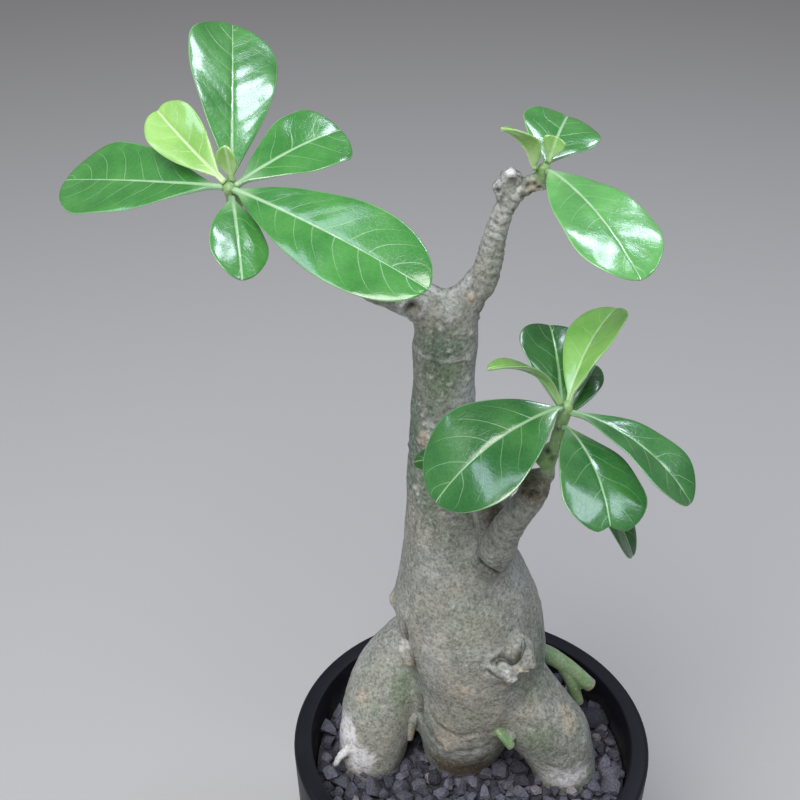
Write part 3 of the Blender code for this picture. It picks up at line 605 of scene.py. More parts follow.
# Each finish is painted round places on the limbs: place, reach and share, from 0 to 1.
PAINT = {
    # Moss is partly the bark's own green and partly painted shade: its dark dabs on the upper trunk under the
    # leaves and on the body's right side stand in for shade.
    "moss_and_painted_shade": [
        ((-15, -7, 255), (15, 14, 16), 0.9), ((-17, -8, 238), (12, 12, 20), 0.75),
        ((-24, -2, 226), (15, 17, 44), 1.0), ((-17, -8, 212), (12, 12, 26), 0.85),
        ((24, -7, 148), (11, 15, 30), 0.85), ((30, -9, 116), (11, 12, 16), 0.7),
        ((-9, -10, 196), (14, 10, 22), 0.35), ((-1, -6, 260), (6, 8, 10), 0.4),
        ((12, -4, 196), (7, 12, 14), 0.7)],
    # Bloom is partly the bark's pale bluish bloom and partly painted light where the trunk's right side and
    # the body's left catch the lamps.
    "bloom_and_painted_light": [
        ((-3, -2, 235), (12, 11, 20), 1.0), ((-6, -7, 219), (8, 6, 10), 0.5),
        ((-15, -16, 152), (10, 7, 24), 0.45)],
    "dust": [
        ((-6, -19, 141), (17, 9, 15), 0.85), ((6, -18, 128), (15, 9, 15), 0.8),
        ((-13, -17, 158), (9, 7, 20), 0.7), ((8, -20, 172), (10, 8, 10), 0.4),
        ((-34, -4, 132), (9, 9, 12), 0.3)],
    "green": [
        ((-11, -6, 248), (14, 14, 24), 0.8), ((-23, -2, 127), (9, 11, 18), 0.8),
        ((-29, 0, 136), (9, 8, 9), 0.6), ((1, -18, 130), (9, 6, 8), 0.6), ((19, -11, 138), (7, 8, 16), 0.65),
        ((20, -15, 117), (11, 8, 12), 0.7), ((-33, -4, 120), (8, 8, 10), 0.5),
        ((-12, 22, 215), (18, 16, 60), 0.5), ((8, -2, 200), (8, 12, 30), 0.3),
        ((-3, -16, 168), (18, 9, 18), 0.35), ((-8, -16, 112), (10, 7, 6), 0.4),
        ((4.5, 1, 283), (6, 6, 12), 0.5)],
    "beige": [
        ((-4.5, -19, 141), (8, 5, 7), 0.75), ((-10, -14, 116), (13, 8, 14), 0.6),
        ((31, -10, 122), (7, 9, 14), 0.85), ((-17, -4.5, 226), (5, 5, 6), 0.8),
        ((-25.5, 3, 160.8), (4, 5, 6), 1.0), ((-1.3, -16, 119.2), (3, 3, 3), 0.8),
        ((-36, -1, 122), (7, 9, 9), 0.6), ((15.2, -22, 152.6), (3.6, 3, 2.6), 1.0),
        ((12.8, -21.4, 153.6), (2.6, 3, 2.4), 0.9), ((-21, -11.6, 148.2), (4, 4, 4), 1.0),
        ((-5, -0.6, 269.3), (3, 3, 3), 0.8), ((10, -18, 143), (6, 4, 4), 0.6),
        ((-20, -1, 108), (4, 5, 8), 0.9), ((17.5, -19, 146), (6, 5, 5), 0.4),
        ((0, -18, 126), (16, 6, 10), 0.35), ((10.8, 2.5, 300.4), (4.6, 4.4, 4.4), 0.95)],
    "powder": [
        ((-43, -4, 108), (9, 14, 12), 1.0), ((-38, -9, 102), (12, 8, 11), 0.95),
        ((31, -15, 101), (17, 12, 10), 0.78), ((-22.3, -9.5, 152.6), (4.5, 4.5, 4.5), 1.0),
        ((10.4, -23.5, 150.8), (3.4, 3, 2.6), 0.95), ((-44, -8.5, 101), (5, 5, 5), 0.9),
        ((8, -23, 153.2), (2.6, 2.6, 2.2), 0.8), ((5.2, 3, 303.6), (3.6, 3.6, 2.4), 0.85),
        ((1.6, 2.6, 300.8), (2.2, 2.2, 2.2), 0.8), ((6.9, 2, 299.8), (1.8, 2, 3), 0.7)],
    # Brown is rot and soil stain, and its dabs round the crotch and the side branch are painted shade.
    "brown_and_painted_shade": [
        ((-3, -11, 100), (24, 14, 13), 1.0), (BRANCH_CUT, (12, 10, 9), 1.0), ((-21, 1, 112), (6, 6, 12), 0.4),
        ((9, -9, 110), (7, 8, 8), 0.5), ((9, -18.5, 156.5), (5, 3, 2.5), 0.6),
        ((7, -18, 206), (7, 6, 14), 0.45), ((15, -16, 190), (7, 8, 12), 0.4),
        ((3.5, -10, 204), (8, 9, 14), 0.8)],
}
# Bumps on the bark: place, reach and rise.
BUMPS = [
    ((-17, -4.5, 226), (5, 5, 6), 1.2), ((-5, -0.5, 269.3), (2.4, 2.4, 2.4), 0.6),
    ((-1.3, -15.6, 119.2), (2.4, 2.4, 2), 0.7), ((-8.2, -14, 111.4), (2.2, 2.2, 1.8), 0.5),
    ((-16, -14, 137.5), (4, 4, 3), 0.6), ((10.4, -17, 143), (5, 4, 4), 0.6), ((3, -6, 206), (8, 9, 9), 2.6),
    ((-4.5, -19.5, 141.5), (7, 5, 4), 0.35), ((-16, -1, 262), (5, 6, 4), 0.5),
    ((12.5, -20.5, 150.2), (3, 3, 2.4), 0.6)]

# The relief of the bark in mm, with the shares of dark and pale that go with it. The dark is partly the
# bark's own and partly painted shade in grooves, cracks and hollows. First come swellings, from broad to
# fine, and wrinkles that lie flat on the body.
relief = 0.24 * lumps(at, 15, 1) + 0.11 * lumps(at, 5.5, 2) + 0.06 * lumps(at, 2.3, 3)
body = ease((172 - height) / 20)
relief += (0.03 + 0.05 * body) * lumps(at, (5, 5, 1.9), 4)
dark_and_painted_shade = np.zeros(len(at))
pale = np.zeros(len(at))
# Rings on the branches: spacing, depth, how far they reach from the middle, and their share of chalk. Their
# grooves are painted darker as shade.
for line, spacing, depth, reach, chalk in (
        (UPPER_BRANCH, 2.5, 0.46, 7.5, 0.45), (SIDE_BRANCH, 3.2, 0.26, 7.5, 0.15),
        (LEFT_BRANCH, 3.6, 0.2, 8, 0.3)):
    apart, along = near_line(at, line)
    inside = ease((reach - apart) / 1.8) * ease(along / 6)
    turn = along / spacing + 0.55 * lumps(at, 5, 5) + 0.25 * lumps(at, 2.5, 6)
    groove = np.exp(-((turn % 1.0 - 0.5) / 0.16) ** 2) * ease(0.62 + 0.7 * lumps(at, 3.5, 7))
    relief += inside * (0.14 - depth * groove)
    dark_and_painted_shade = np.maximum(dark_and_painted_shade, 0.42 * inside * groove)
    pale = np.maximum(pale, chalk * inside * ease((along - 5) / 26) * (1 - 0.6 * groove))
# Old leaf scars ring the trunk as thin raised lines: their height and how plain they are.
on_trunk = np.hypot(at[:, 0] - TRUNK_MIDDLE[0], at[:, 1] - TRUNK_MIDDLE[1]) < TRUNK_REACH
for level, share in ((252.8, 1.0), (238, 0.35), (215, 0.3), (204, 0.3)):
    wavy = level + 1.2 * lumps(at, (9, 9, 60), 8 + level)
    scar = np.exp(-((height - wavy) / 0.75) ** 2) * ease(0.75 + 1.0 * lumps(at, (7, 7, 50), 9)) * share
    scar = scar * on_trunk
    relief += 0.28 * scar
    pale = np.maximum(pale, 0.9 * scar)
for place, reach, rise in BUMPS:
    relief += rise * dab(at, place, reach)
# Small pale pimples, thrown over the trunk and over its shoulder.
for place, count, spread in (((-12, -4, 235), 30, (13, 9, 34)), ((-5, -12, 190), 9, (17, 10, 20))):
    drawn = np.random.default_rng(count)
    for spot in np.array(place) + drawn.uniform(-1, 1, (count, 3)) * spread:
        pimple = dab(at, nearest_to(at, spot), (1.7, 1.7, 1.3))
        relief += 0.55 * pimple
        pale = np.maximum(pale, pimple)
# Cracks and creases: their width, their depth and how dark they are. The dark is partly the split bark and
# partly painted shade in the creases.
for lines, width, depth, shade in (
        ([BRANCH_CRACK], 2.0, 1.1, 1.0), ([STUB_CRACK], 1.9, 1.3, 1.0), ([LEG_CREASE], 3.2, 1.8, 0.85),
        ([STUB_CREASE], 1.4, 0.6, 0.7), (LOWER_CREASES, 1.6, 0.5, 0.42)):
    cut = beside(at + 0.35 * lumps(at, 3, 10)[:, None], lines, width)
    relief -= depth * cut
    dark_and_painted_shade = np.maximum(dark_and_painted_shade, shade * cut ** 1.3)
# The knothole with its raised pale rim, the callus across the fork, and the neck, which has no chalk. The
# hole is painted dark as shade.
ring = np.linalg.norm(at - KNOTHOLE, axis=1)
relief += 0.9 * np.exp(-((ring - 3.0) / 1.3) ** 2) - 1.8 * ease(1 - ring / 2.1)
dark_and_painted_shade = np.maximum(dark_and_painted_shade, 0.9 * ease(1 - ring / 1.5))
pale = np.maximum(pale, 0.8 * np.exp(-((ring - 3.2) / 1.4) ** 2))
pale = np.maximum(pale, 0.85 * beside(at, [FORK_CALLUS], 3.2))
pale *= 1 - beside(at, [NECK], 4.2)
# Pits where small leaves dropped and where the cuts have rotted: place and width. Their dark is partly rot
# and partly painted shade in the hollow.
for pit, width in (
        ((9.8, -23.4, 221.6), 1.0), ((11.7, -25.2, 222.0), 1.4), ((13.4, -25.4, 222.6), 1.1),
        ((12.3, -24.8, 223.4), 1.0), ((15.8, -24.9, 236.3), 1.4), ((17.0, -25.4, 233.7), 1.3),
        ((17.6, -27.3, 244.5), 1.0), ((9.6, 1.8, 300.9), 1.2), ((11.2, 1.9, 301.5), 1.1),
        ((12.4, 2.2, 300.1), 1.0), ((10.3, 2.4, 298.5), 0.9), ((5.0, 0.9, 302.9), 1.7),
        ((6.8, 2.6, 303.6), 0.9), ((1.4, 1.6, 299.2), 1.0), ((14.9, -20.4, 150.9), 1.8),
        ((12.7, -20.4, 151.2), 1.5)):
    hole = dab(at, nearest_to(at, np.array(pit)), width * 1.4)
    relief -= 0.7 * hole
    dark_and_painted_shade = np.maximum(dark_and_painted_shade, hole)
# The stubs end in crumbling wood, and the crotch of the side branch is painted dark as shade.
rough_top = beside(at, UPPER_STUBS, 5.5)
crusts = [((9.5, -23, 151.8), (5.5, 4, 4)), ((14.8, -21.5, 153.6), (4.5, 3.5, 2.6))]
crust = np.max([dab(at, place, reach) for place, reach in crusts], axis=0)
relief += 0.5 * rough_top * lumps(at, 1.7, 11) + 0.6 * crust * lumps(at, 1.5, 12)
dark_and_painted_shade = np.maximum(dark_and_painted_shade, 0.75 * beside(at, [CROTCH], 8))
dark_and_painted_shade = np.maximum(dark_and_painted_shade, 0.8 * np.maximum(rough_top, crust) * ease(-0.25 - 2.2 * lumps(at, 1.7, 13)))

# Young green skin is smooth: each shoot's line, how far it reaches, the width of the change, how green it is.
shoot = (beside(at, [TOP_SHOOT, LEFT_SHOOT], 4) > 0.2).astype(float)
for line, reach, change, share in (
        (SIDE_SHOOT, 4.2, 1.2, 1.0), (CLEFT_TWIG, 2.1, 0.5, 0.7), (SHOOT_FOOT, 3.9, 0.8, 1.0),
        (PRUNED_FORK[0], 4.6, 1.2, 0.72), (PRUNED_FORK[1], 4.6, 1.2, 0.72)):
    shoot = np.maximum(shoot, share * ease((reach - near_line(at, line)[0]) / change))
relief = relief * (1 - 0.7 * shoot)
placed = at + way * relief[:, None]
# The side branch is cut flat, but not the shoot that took over from it.
cut_way = np.array(CUT_WAY) / np.linalg.norm(CUT_WAY)
over = (placed - BRANCH_CUT) @ cut_way
sawn = ease((CUT_REACH - np.linalg.norm(placed - BRANCH_CUT, axis=1)) / 1.5)
sawn *= near_line(placed, SIDE_SHOOT)[0] > 3.1
sawn *= near_line(placed, SHOOT_FOOT)[0] > 3.3
placed -= cut_way * (np.clip(over, 0, None) * sawn)[:, None]
wood.data.vertices.foreach_set("co", (placed * MM).astype(np.float32).ravel())
wood.data.update()
wood.data.shade_smooth()

finishes = {"dark_and_painted_shade": dark_and_painted_shade, "pale": pale, "shoot": shoot}
for name, dabs in PAINT.items():
    finishes[name] = np.max([share * dab(at, place, reach) for place, reach, share in dabs], axis=0)
for place, reach in CUT_ENDS:
    bare = ease((reach - np.linalg.norm(at - place, axis=1)) / 0.7)
    finishes["beige"] = np.maximum(finishes["beige"], bare)
finishes["brown_and_painted_shade"] = finishes["brown_and_painted_shade"] * (1 - 0.8 * shoot)
finishes["moss_and_painted_shade"] = finishes["moss_and_painted_shade"] * (1 - 0.8 * finishes["bloom_and_painted_light"])
for name, values in finishes.items():
    layer = wood.data.attributes.new(name, "FLOAT", "POINT")
    layer.data.foreach_set("value", np.clip(values, 0, 1).astype(np.float32))

bark, tree, shader = new_material("bark")
place = own_place(tree)
painted = {name: add(tree, "ShaderNodeAttribute", attribute_name=name).outputs["Fac"] for name in finishes}
fine_grain = cloud(tree, place, 0.0009, 2.0, 0.6)
speckle = cloud(tree, place, 0.0019, 4.0, 0.7)
mottle = cloud(tree, place, 0.011, 4.0, 0.6)
grains = cloud(tree, place, 0.0026, 5.0, 0.72)
drift = cloud(tree, place, 0.026, 3.0, 0.6)


def ragged(amount, grain, hardness=0.25):
    """A painted share broken up by a grain, so that it ends in flecks and not in a soft edge."""
    broken = maths(tree, "ADD", amount, times(tree, maths(tree, "SUBTRACT", grain, 0.5), 1.1))
    return ramp(tree, broken, 0.5 - hardness, 0.5 + hardness)


tone = blend(tree, ramp(tree, mottle, 0.3, 0.7), (0.27, 0.285, 0.25, 1), (0.40, 0.41, 0.38, 1))
tone = blend(tree, ramp(tree, drift, 0.45, 0.65, 0.0, 0.5), tone, (0.37, 0.345, 0.29, 1))
# The painted finishes, one over the other: grain, softness of the edge, strength and colour.
for finish, grain, hardness, strength, colour in (
        ("green", grains, 0.45, 0.8, (0.20, 0.28, 0.165)), ("moss_and_painted_shade", grains, 0.40, 0.9, (0.14, 0.21, 0.145)),
        ("bloom_and_painted_light", grains, 0.45, 0.8, (0.58, 0.64, 0.69)), ("dust", grains, 0.45, 0.7, (0.50, 0.48, 0.42)),
        ("beige", grains, 0.25, 0.8, (0.56, 0.48, 0.38)), ("brown_and_painted_shade", grains, 0.40, 0.85, (0.15, 0.105, 0.055)),
        ("pale", grains, 0.40, 0.8, (0.58, 0.59, 0.60)), ("powder", mottle, 0.30, 0.42, (0.74, 0.72, 0.70))):
    spread = times(tree, ragged(painted[finish], grain, hardness), strength)
    tone = blend(tree, spread, tone, (*colour, 1))
young = blend(tree, ramp(tree, mottle, 0.35, 0.65), (0.16, 0.34, 0.10, 1), (0.30, 0.48, 0.20, 1))
tone = blend(tree, times(tree, painted["shoot"], maths(tree, "SUBTRACT", 1.0, painted["beige"])), tone, young)
# Corky flecks, dark speckles, pores and fine pale specks. Young skin has few of the dark ones.
flecks = add(tree, "ShaderNodeTexVoronoi", {"Vector": place, "Scale": 330.0})
chosen = ramp(tree, out(tree, "ShaderNodeSeparateColor", {0: flecks.outputs["Color"]}), 0.70, 0.74)
fleck = times(tree, chosen, ramp(tree, flecks.outputs["Distance"], 0.10, 0.26, 0.7, 0.0))
tone = blend(tree, fleck, tone, (0.50, 0.47, 0.39, 1))
# The dark speckles are deeper where the moss and its painted shade lie.
shade = maths(tree, "ADD", 0.36, times(tree, painted["moss_and_painted_shade"], 0.3))
shaded = blend(tree, shade, tone, (0.03, 0.035, 0.024, 1))
clean = times(tree, painted["shoot"], 0.75)
tone = blend(tree, maths(tree, "MAXIMUM", ramp(tree, speckle, 0.36, 0.60), clean), shaded, tone)
pores = ramp(tree, fine_grain, 0.36, 0.46, 1.0, 0.0)
tone = blend(tree, times(tree, maths(tree, "SUBTRACT", pores, clean), 0.42), tone, (0.04, 0.042, 0.032, 1))
tone = blend(tree, ramp(tree, fine_grain, 0.56, 0.72, 0.0, 0.38), tone, (0.66, 0.66, 0.61, 1))
chalk = times(tree, ragged(painted["powder"], grains), ramp(tree, speckle, 0.38, 0.58, 0.25, 0.95))
tone = blend(tree, chalk, tone, (0.76, 0.75, 0.79, 1))
# Near black over the cracks, pits, knothole and crotch: partly their own dark, partly painted shade.
tone = blend(tree, times(tree, painted["dark_and_painted_shade"], 0.95), tone, (0.012, 0.010, 0.007, 1))
tree.links.new(tone, shader.inputs["Base Color"])
tree.links.new(ramp(tree, painted["shoot"], 0.0, 1.0, 0.62, 0.38), shader.inputs["Roughness"])
skin = maths(tree, "ADD", times(tree, fine_grain, 0.5), speckle)
emboss(tree, shader, maths(tree, "ADD", skin, times(tree, fleck, 0.7)), 0.55, 0.0005)
wood.data.materials.clear()
wood.data.materials.append(bark)
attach(wood, "root")
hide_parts("caudex")


# ---------------------------------------------------------------- leaves
# Thick glossy blades, wedge-shaped with round ends, in three rosettes. Each has a pale midrib sunk in its
# upper side and raised below, and side veins that curve up and fade near the margin.

# Of a leaf: clock is the way it points round its shoot, in degrees, 0 at the back and up, clockwise seen from
# the tip, and rise is its angle above the rosette's plane. droop and sweep are how far the midrib bends down
# and sideways along its length, turn is the roll round the midrib, and fold is how far the halves are raised.
# seat is how far down the shoot it grows, in mm. peak is where it is widest, wedge how straight its foot is,
# tip how blunt its end is, and notch how far the middle of its end is drawn in, in mm.
LEAF_FORM = dict(droop=20, turn=0, fold=8, sweep=0, seat=0, peak=0.69, wedge=1.1, tip=0.53, notch=0)


def leaf_of(clock, rise, length, width, **form):
    return {**LEAF_FORM, "clock": clock, "rise": rise, "length": length, "width": width, **form}


ROSETTES = {
    "left": dict(middle=(-66, -12, 305.5), axis=(-0.15, -0.55, 0.82), stem=(-0.15, -0.55, 0.82)),
    "top": dict(middle=(13.3, 3, 304.5), axis=(0.1, -0.35, 0.93), stem=(0.1, -0.35, 0.93)),
    "side": dict(middle=(19.3, -28, 251.5), axis=(0.24, -0.27, 0.93), stem=(0.12, -0.25, 0.96)),
}
LEAVES = {
    "left": [
        leaf_of(114, 7, 61, 23, turn=2, fold=4, wedge=0.9, tip=0.5, seat=-1.2),
        leaf_of(343, -6, 56, 25, droop=18, turn=-34, fold=6, peak=0.77, sweep=5, seat=1),
        leaf_of(39, -14, 32, 22, droop=28, fold=4, peak=0.8, seat=0.5),
        leaf_of(277, -17, 54, 25, droop=14, turn=-5, fold=5, peak=0.71, sweep=5, wedge=1.2),
        leaf_of(308, 3, 29.5, 14.5, turn=8, fold=11, peak=0.7, sweep=6, seat=-1.5, notch=1.1),
        leaf_of(156, 11, 28, 14.5, droop=28, turn=30, fold=5, peak=0.67, sweep=-6, seat=0.5),
        leaf_of(0, 72, 10, 6, droop=0, fold=25, seat=-0.5),
    ],
    "top": [
        leaf_of(173, 9, 47.5, 23.5, droop=36, fold=4, wedge=0.85, seat=-1.5),
        leaf_of(34, -7, 25, 22, droop=22, turn=-4, fold=6, peak=0.66, sweep=4),
        leaf_of(279, 49, 17, 9.5, droop=52, turn=-38, fold=24, peak=0.5, tip=1.1, wedge=0.8, seat=-1.3),
        leaf_of(42, 70, 6.5, 6.5, droop=0, fold=18, peak=0.85, tip=0.4, seat=-1.5),
    ],
    "side": [
        leaf_of(274, -32, 42, 29, droop=60, turn=-5, fold=4, peak=0.62, sweep=-10, seat=-1, wedge=1.0),
        leaf_of(205, 1, 35.5, 24, droop=57, turn=4, fold=3, peak=0.72, tip=0.4, seat=5, notch=1.8),
        leaf_of(168, -2, 39, 18.5, droop=58, turn=8, peak=0.73, wedge=1.15),
        leaf_of(64, 21, 32, 17, droop=40, turn=41, fold=12, peak=0.72, sweep=3),
        leaf_of(296, 28, 28.5, 7.5, droop=66, turn=-34, fold=18, seat=-2.5),
        leaf_of(34, 10, 28, 22, droop=30, fold=12, seat=4.5),
        leaf_of(66, 6, 23, 9, droop=28, seat=7),
        leaf_of(163.5, -33.5, 37, 11, droop=36, fold=12, seat=14),
        leaf_of(317, -26.5, 35.5, 13, droop=16, fold=10, seat=20),
    ],
}
SHOOT_RADIUS = 1.9 * MM
PETIOLE_WIDTH = 1.7 * MM
PETIOLE_DEPTH = 1.3 * MM
SEAT_GAP = 0.45 * MM
BLADE_DEPTH = 0.75 * MM
PETIOLE_ROOT = 0.9 * MM              # of the petiole, sunk in the shoot
QUILT_HEIGHT = 0.085 * MM
NOTCH_WIDTH = 2.4 * MM
WAVE_HEIGHT = 0.035                  # of the blade's half width, at its margin
RIB_WIDTH = 0.55 * MM
RIB_GROOVE = 0.22 * MM               # in the upper face
RIB_RIDGE = 0.45 * MM                # on the lower face
VEIN_SPACING = 6.5 * MM
# Stations across a blade, as shares of its half width, closer together at the midrib and at the margin.
ACROSS = np.array([0, 0.025, 0.06, 0.11, 0.18, 0.27, 0.37, 0.48,
                   0.59, 0.69, 0.78, 0.86, 0.92, 0.96, 0.985, 1])
ACROSS = np.concatenate([-ACROSS[:0:-1], ACROSS])


def unit(vector):
    return vector / np.linalg.norm(vector)


def leaf_half_width(v, leaf):
    rising = np.sin(math.pi / 2 * np.clip(v / leaf["peak"], 0, 1)) ** leaf["wedge"]
    falling = np.cos(math.pi / 2 * np.clip((v - leaf["peak"]) / (1 - leaf["peak"]), 0, 1)) ** leaf["tip"]
    blade = leaf["width"] / 2 * MM * np.where(v < leaf["peak"], rising, falling)
    return np.maximum(blade, np.where(v < 0.5, PETIOLE_WIDTH / 2, 0.05 * MM))


def vein_phase(u, v, leaf, pairs, rng):
    """Whole numbers on the side veins: they leave the midrib aslant, alternate, and curve up to the tip."""
    slant = 0.55 * leaf["width"] / 2 / leaf["length"]
    offset = np.where(u < 0, 0.0, 0.45) + rng.uniform(0, 1)
    waver = 0.10 * np.sin(7.0 * v + 3.0 * u + rng.uniform(0, 6)) + 0.06 * np.sin(17.0 * v - 5 * u)
    return pairs * (v - slant * np.abs(u) - 0.07 * u ** 2 - 0.05 * np.abs(u) ** 6) + offset + waver


def leaf_stance(rosette, leaf):
    """Where a leaf leaves its shoot, with the ways ahead, to its side and out of its upper face."""
    axis = unit(np.array(rosette["axis"], float))
    stem = unit(np.array(rosette["stem"], float))
    noon = unit(np.array([0, 0, 1.0]) - axis * axis[2])
    right = np.cross(noon, axis)
    clock, rise, roll = (math.radians(leaf[k]) for k in ("clock", "rise", "turn"))
    outward = math.cos(clock) * noon + math.sin(clock) * right
    ahead = math.cos(rise) * outward + math.sin(rise) * axis
    side = unit(np.cross(ahead, axis))
    top = np.cross(side, ahead)
    side, top = math.cos(roll) * side + math.sin(roll) * top, math.cos(roll) * top - math.sin(roll) * side
    stand = SHOOT_RADIUS + SEAT_GAP + PETIOLE_DEPTH / 2 * abs(math.sin(rise))
    base = (np.array(rosette["middle"], float) - stem * leaf["seat"]) * MM + outward * stand
    return base, ahead, side, top


def leaf_midrib(rosette, leaf):
    """Stations along a midrib: their shares of the leaf's length and their places, with the ways along the
    midrib, across the blade and out of its upper face."""
    base, ahead, side, top = leaf_stance(rosette, leaf)
    rows = max(24, round(leaf["length"] * 1.1))
    foot = np.linspace(0, leaf["peak"], rows * 2 // 3, endpoint=False)
    end = leaf["peak"] + (1 - leaf["peak"]) * np.sin(np.linspace(0, math.pi / 2, rows - len(foot)))
    v = np.concatenate([[-PETIOLE_ROOT / (leaf["length"] * MM)], foot, end])
    bend = math.radians(leaf["droop"]) * (0.5 - v)
    sweep = math.radians(leaf["sweep"]) * (v - 0.5)
    run = (np.cos(bend) * np.cos(sweep))[:, None] * ahead + np.sin(bend)[:, None] * top \
        + (np.cos(bend) * np.sin(sweep))[:, None] * side
    steps = (run[1:] + run[:-1]) / 2 * (np.diff(v) * leaf["length"] * MM)[:, None]
    midrib = base - run[0] * PETIOLE_ROOT + np.vstack([np.zeros(3), np.cumsum(steps, axis=0)])
    across = side - run * (run @ side)[:, None]
    across /= np.linalg.norm(across, axis=1)[:, None]
    return v, midrib, run, across, np.cross(across, run)


def blade_mesh(name, upper, lower, maps):
    """One closed skin over the upper and lower faces of a blade, with its maps for the material."""
    rows, columns = upper.shape[:2]
    under = rows * columns
    faces = []
    for r in range(rows - 1):
        for c in range(columns - 1):
            a, b = r * columns + c, r * columns + c + 1
            faces.append((a, b, b + columns, a + columns))
            faces.append((under + a + columns, under + b + columns, under + b, under + a))
    faces.append(tuple(range(columns - 1, -1, -1)) + tuple(under + c for c in range(columns)))
    mesh = bpy.data.meshes.new(name)
    mesh.from_pydata(np.concatenate([upper.reshape(-1, 3), lower.reshape(-1, 3)]).tolist(), [], faces)
    corner = np.array([loop.vertex_index for loop in mesh.loops]) % under
    for label, values in maps.items():
        layer = mesh.uv_layers.new(name=label)
        layer.uv.foreach_set("vector", values.reshape(-1, 2)[corner].ravel().astype(np.float32))
    bm = bmesh.new()
    bm.from_mesh(mesh)
    bmesh.ops.remove_doubles(bm, verts=bm.verts, dist=0.002 * MM)
    bmesh.ops.recalc_face_normals(bm, faces=bm.faces)
    bm.to_mesh(mesh)
    bm.free()
    mesh.shade_smooth()
    return mesh


def make_leaf(name, rosette, leaf, rng):
    """A blade with its two skins, its midrib and veins in relief, and maps across and along it."""
    v, midrib, run, across, normal = leaf_midrib(rosette, leaf)
    half = leaf_half_width(v, leaf)[:, None]
    u = ACROSS[None, :]
    vv = v[:, None]
    pairs = max(4, round(leaf["length"] * MM / VEIN_SPACING))
    phase = vein_phase(u, vv, leaf, pairs, rng)
    puff = 0.5 - 0.5 * np.cos(math.tau * phase)                 # 0 on a vein, 1 between two
    open_blade = np.clip((vv - 0.12) / 0.2, 0, 1) * (1 - np.abs(u) ** 4)
    rib = np.exp(-(np.abs(u) * half / RIB_WIDTH) ** 2)
    rib_share = 1 - 0.75 * vv
    wave = WAVE_HEIGHT * half * u * u * np.sin(math.tau * 2.4 * vv + 2.0 * u + leaf["clock"])
    fold = math.radians(leaf["fold"])
    lift = np.abs(u) * half * math.sin(fold) + wave
    quilt = QUILT_HEIGHT * puff * open_blade * min(1.0, leaf["width"] / 16)
    round_off = np.sqrt(np.clip(1 - np.abs(u) ** 8, 0, 1)) * np.sqrt(np.clip(1 - vv ** 60, 0, 1))
    foot_share = np.clip(1 - vv / 0.3, 0, 1)
    depth = (BLADE_DEPTH + (PETIOLE_DEPTH - BLADE_DEPTH) * foot_share) * round_off
    centre = midrib[:, None, :] + (u * half * math.cos(fold))[..., None] * across[:, None, :]
    at_end = np.clip((vv - 0.84) / 0.16, 0, 1) ** 1.5
    drawn_in = leaf["notch"] * MM * np.exp(-(u * half / NOTCH_WIDTH) ** 2) * at_end
    centre = centre - drawn_in[..., None] * run[:, None, :]
    upper_lift = lift + quilt + depth / 2 - RIB_GROOVE * rib * rib_share * open_blade
    lower_lift = lift + 0.5 * quilt - depth / 2 - RIB_RIDGE * rib * rib_share * np.clip(vv / 0.1, 0, 1)
    upper = centre + upper_lift[..., None] * normal[:, None, :]
    lower = centre + lower_lift[..., None] * normal[:, None, :]
    blade_map = np.stack(np.broadcast_arrays(u * half / MM, vv * leaf["length"]), -1)
    vein_map = np.stack(np.broadcast_arrays(u, phase), -1)
    return new_object(name, blade_mesh(name, upper, lower, {"blade": blade_map, "veins": vein_map}))


# The marks that every leaf shares: midrib, side veins and margin, each as a share of the surface.
marks = bpy.data.node_groups.new("leaf_marks", "ShaderNodeTree")
given, put = sockets(
    marks, [("Rib Width", "NodeSocketFloat", 0.62), ("Vein Width", "NodeSocketFloat", 0.036)],
    [(label, "NodeSocketFloat") for label in ("Rib", "Veins", "Margin", "Foot", "Net")])
blade, veins = (add(marks, "ShaderNodeSeparateXYZ", {0: out(marks, "ShaderNodeUVMap", uv_map=label)}).outputs
                for label in ("blade", "veins"))
place = own_place(marks)
wobble = times(marks, maths(marks, "SUBTRACT", cloud(marks, place, 0.0025), 0.5), 0.35)
from_rib = maths(marks, "ABSOLUTE", blade[0])
rib_now = times(marks, given["Rib Width"], ramp(marks, blade[1], 0.0, 50.0, 1.0, 0.28))
marks.links.new(ramp(marks, maths(marks, "DIVIDE", from_rib, rib_now), 0.35, 1.0, 1.0, 0.0), put["Rib"])
from_vein = maths(marks, "PINGPONG", maths(marks, "ADD", veins[1], times(marks, wobble, 0.22)), 0.5)
edgeward = maths(marks, "ABSOLUTE", veins[0])
thin_out = ramp(marks, edgeward, 0.1, 0.92, 1.0, 0.35)
vein_line = ramp(marks, maths(marks, "DIVIDE", from_vein, times(marks, given["Vein Width"], thin_out)),
                 0.3, 1.0, 1.0, 0.0)
marks.links.new(times(marks, vein_line, ramp(marks, edgeward, 0.72, 0.95, 1.0, 0.0)), put["Veins"])
marks.links.new(ramp(marks, edgeward, 0.955, 0.985), put["Margin"])
marks.links.new(ramp(marks, blade[1], 1.0, 9.0, 1.0, 0.0), put["Foot"])
cells = add(marks, "ShaderNodeTexVoronoi", {"Vector": place, "Scale": 700.0}, feature="DISTANCE_TO_EDGE")
marks.links.new(ramp(marks, cells.outputs["Distance"], 0.0, 0.12, 1.0, 0.0), put["Net"])


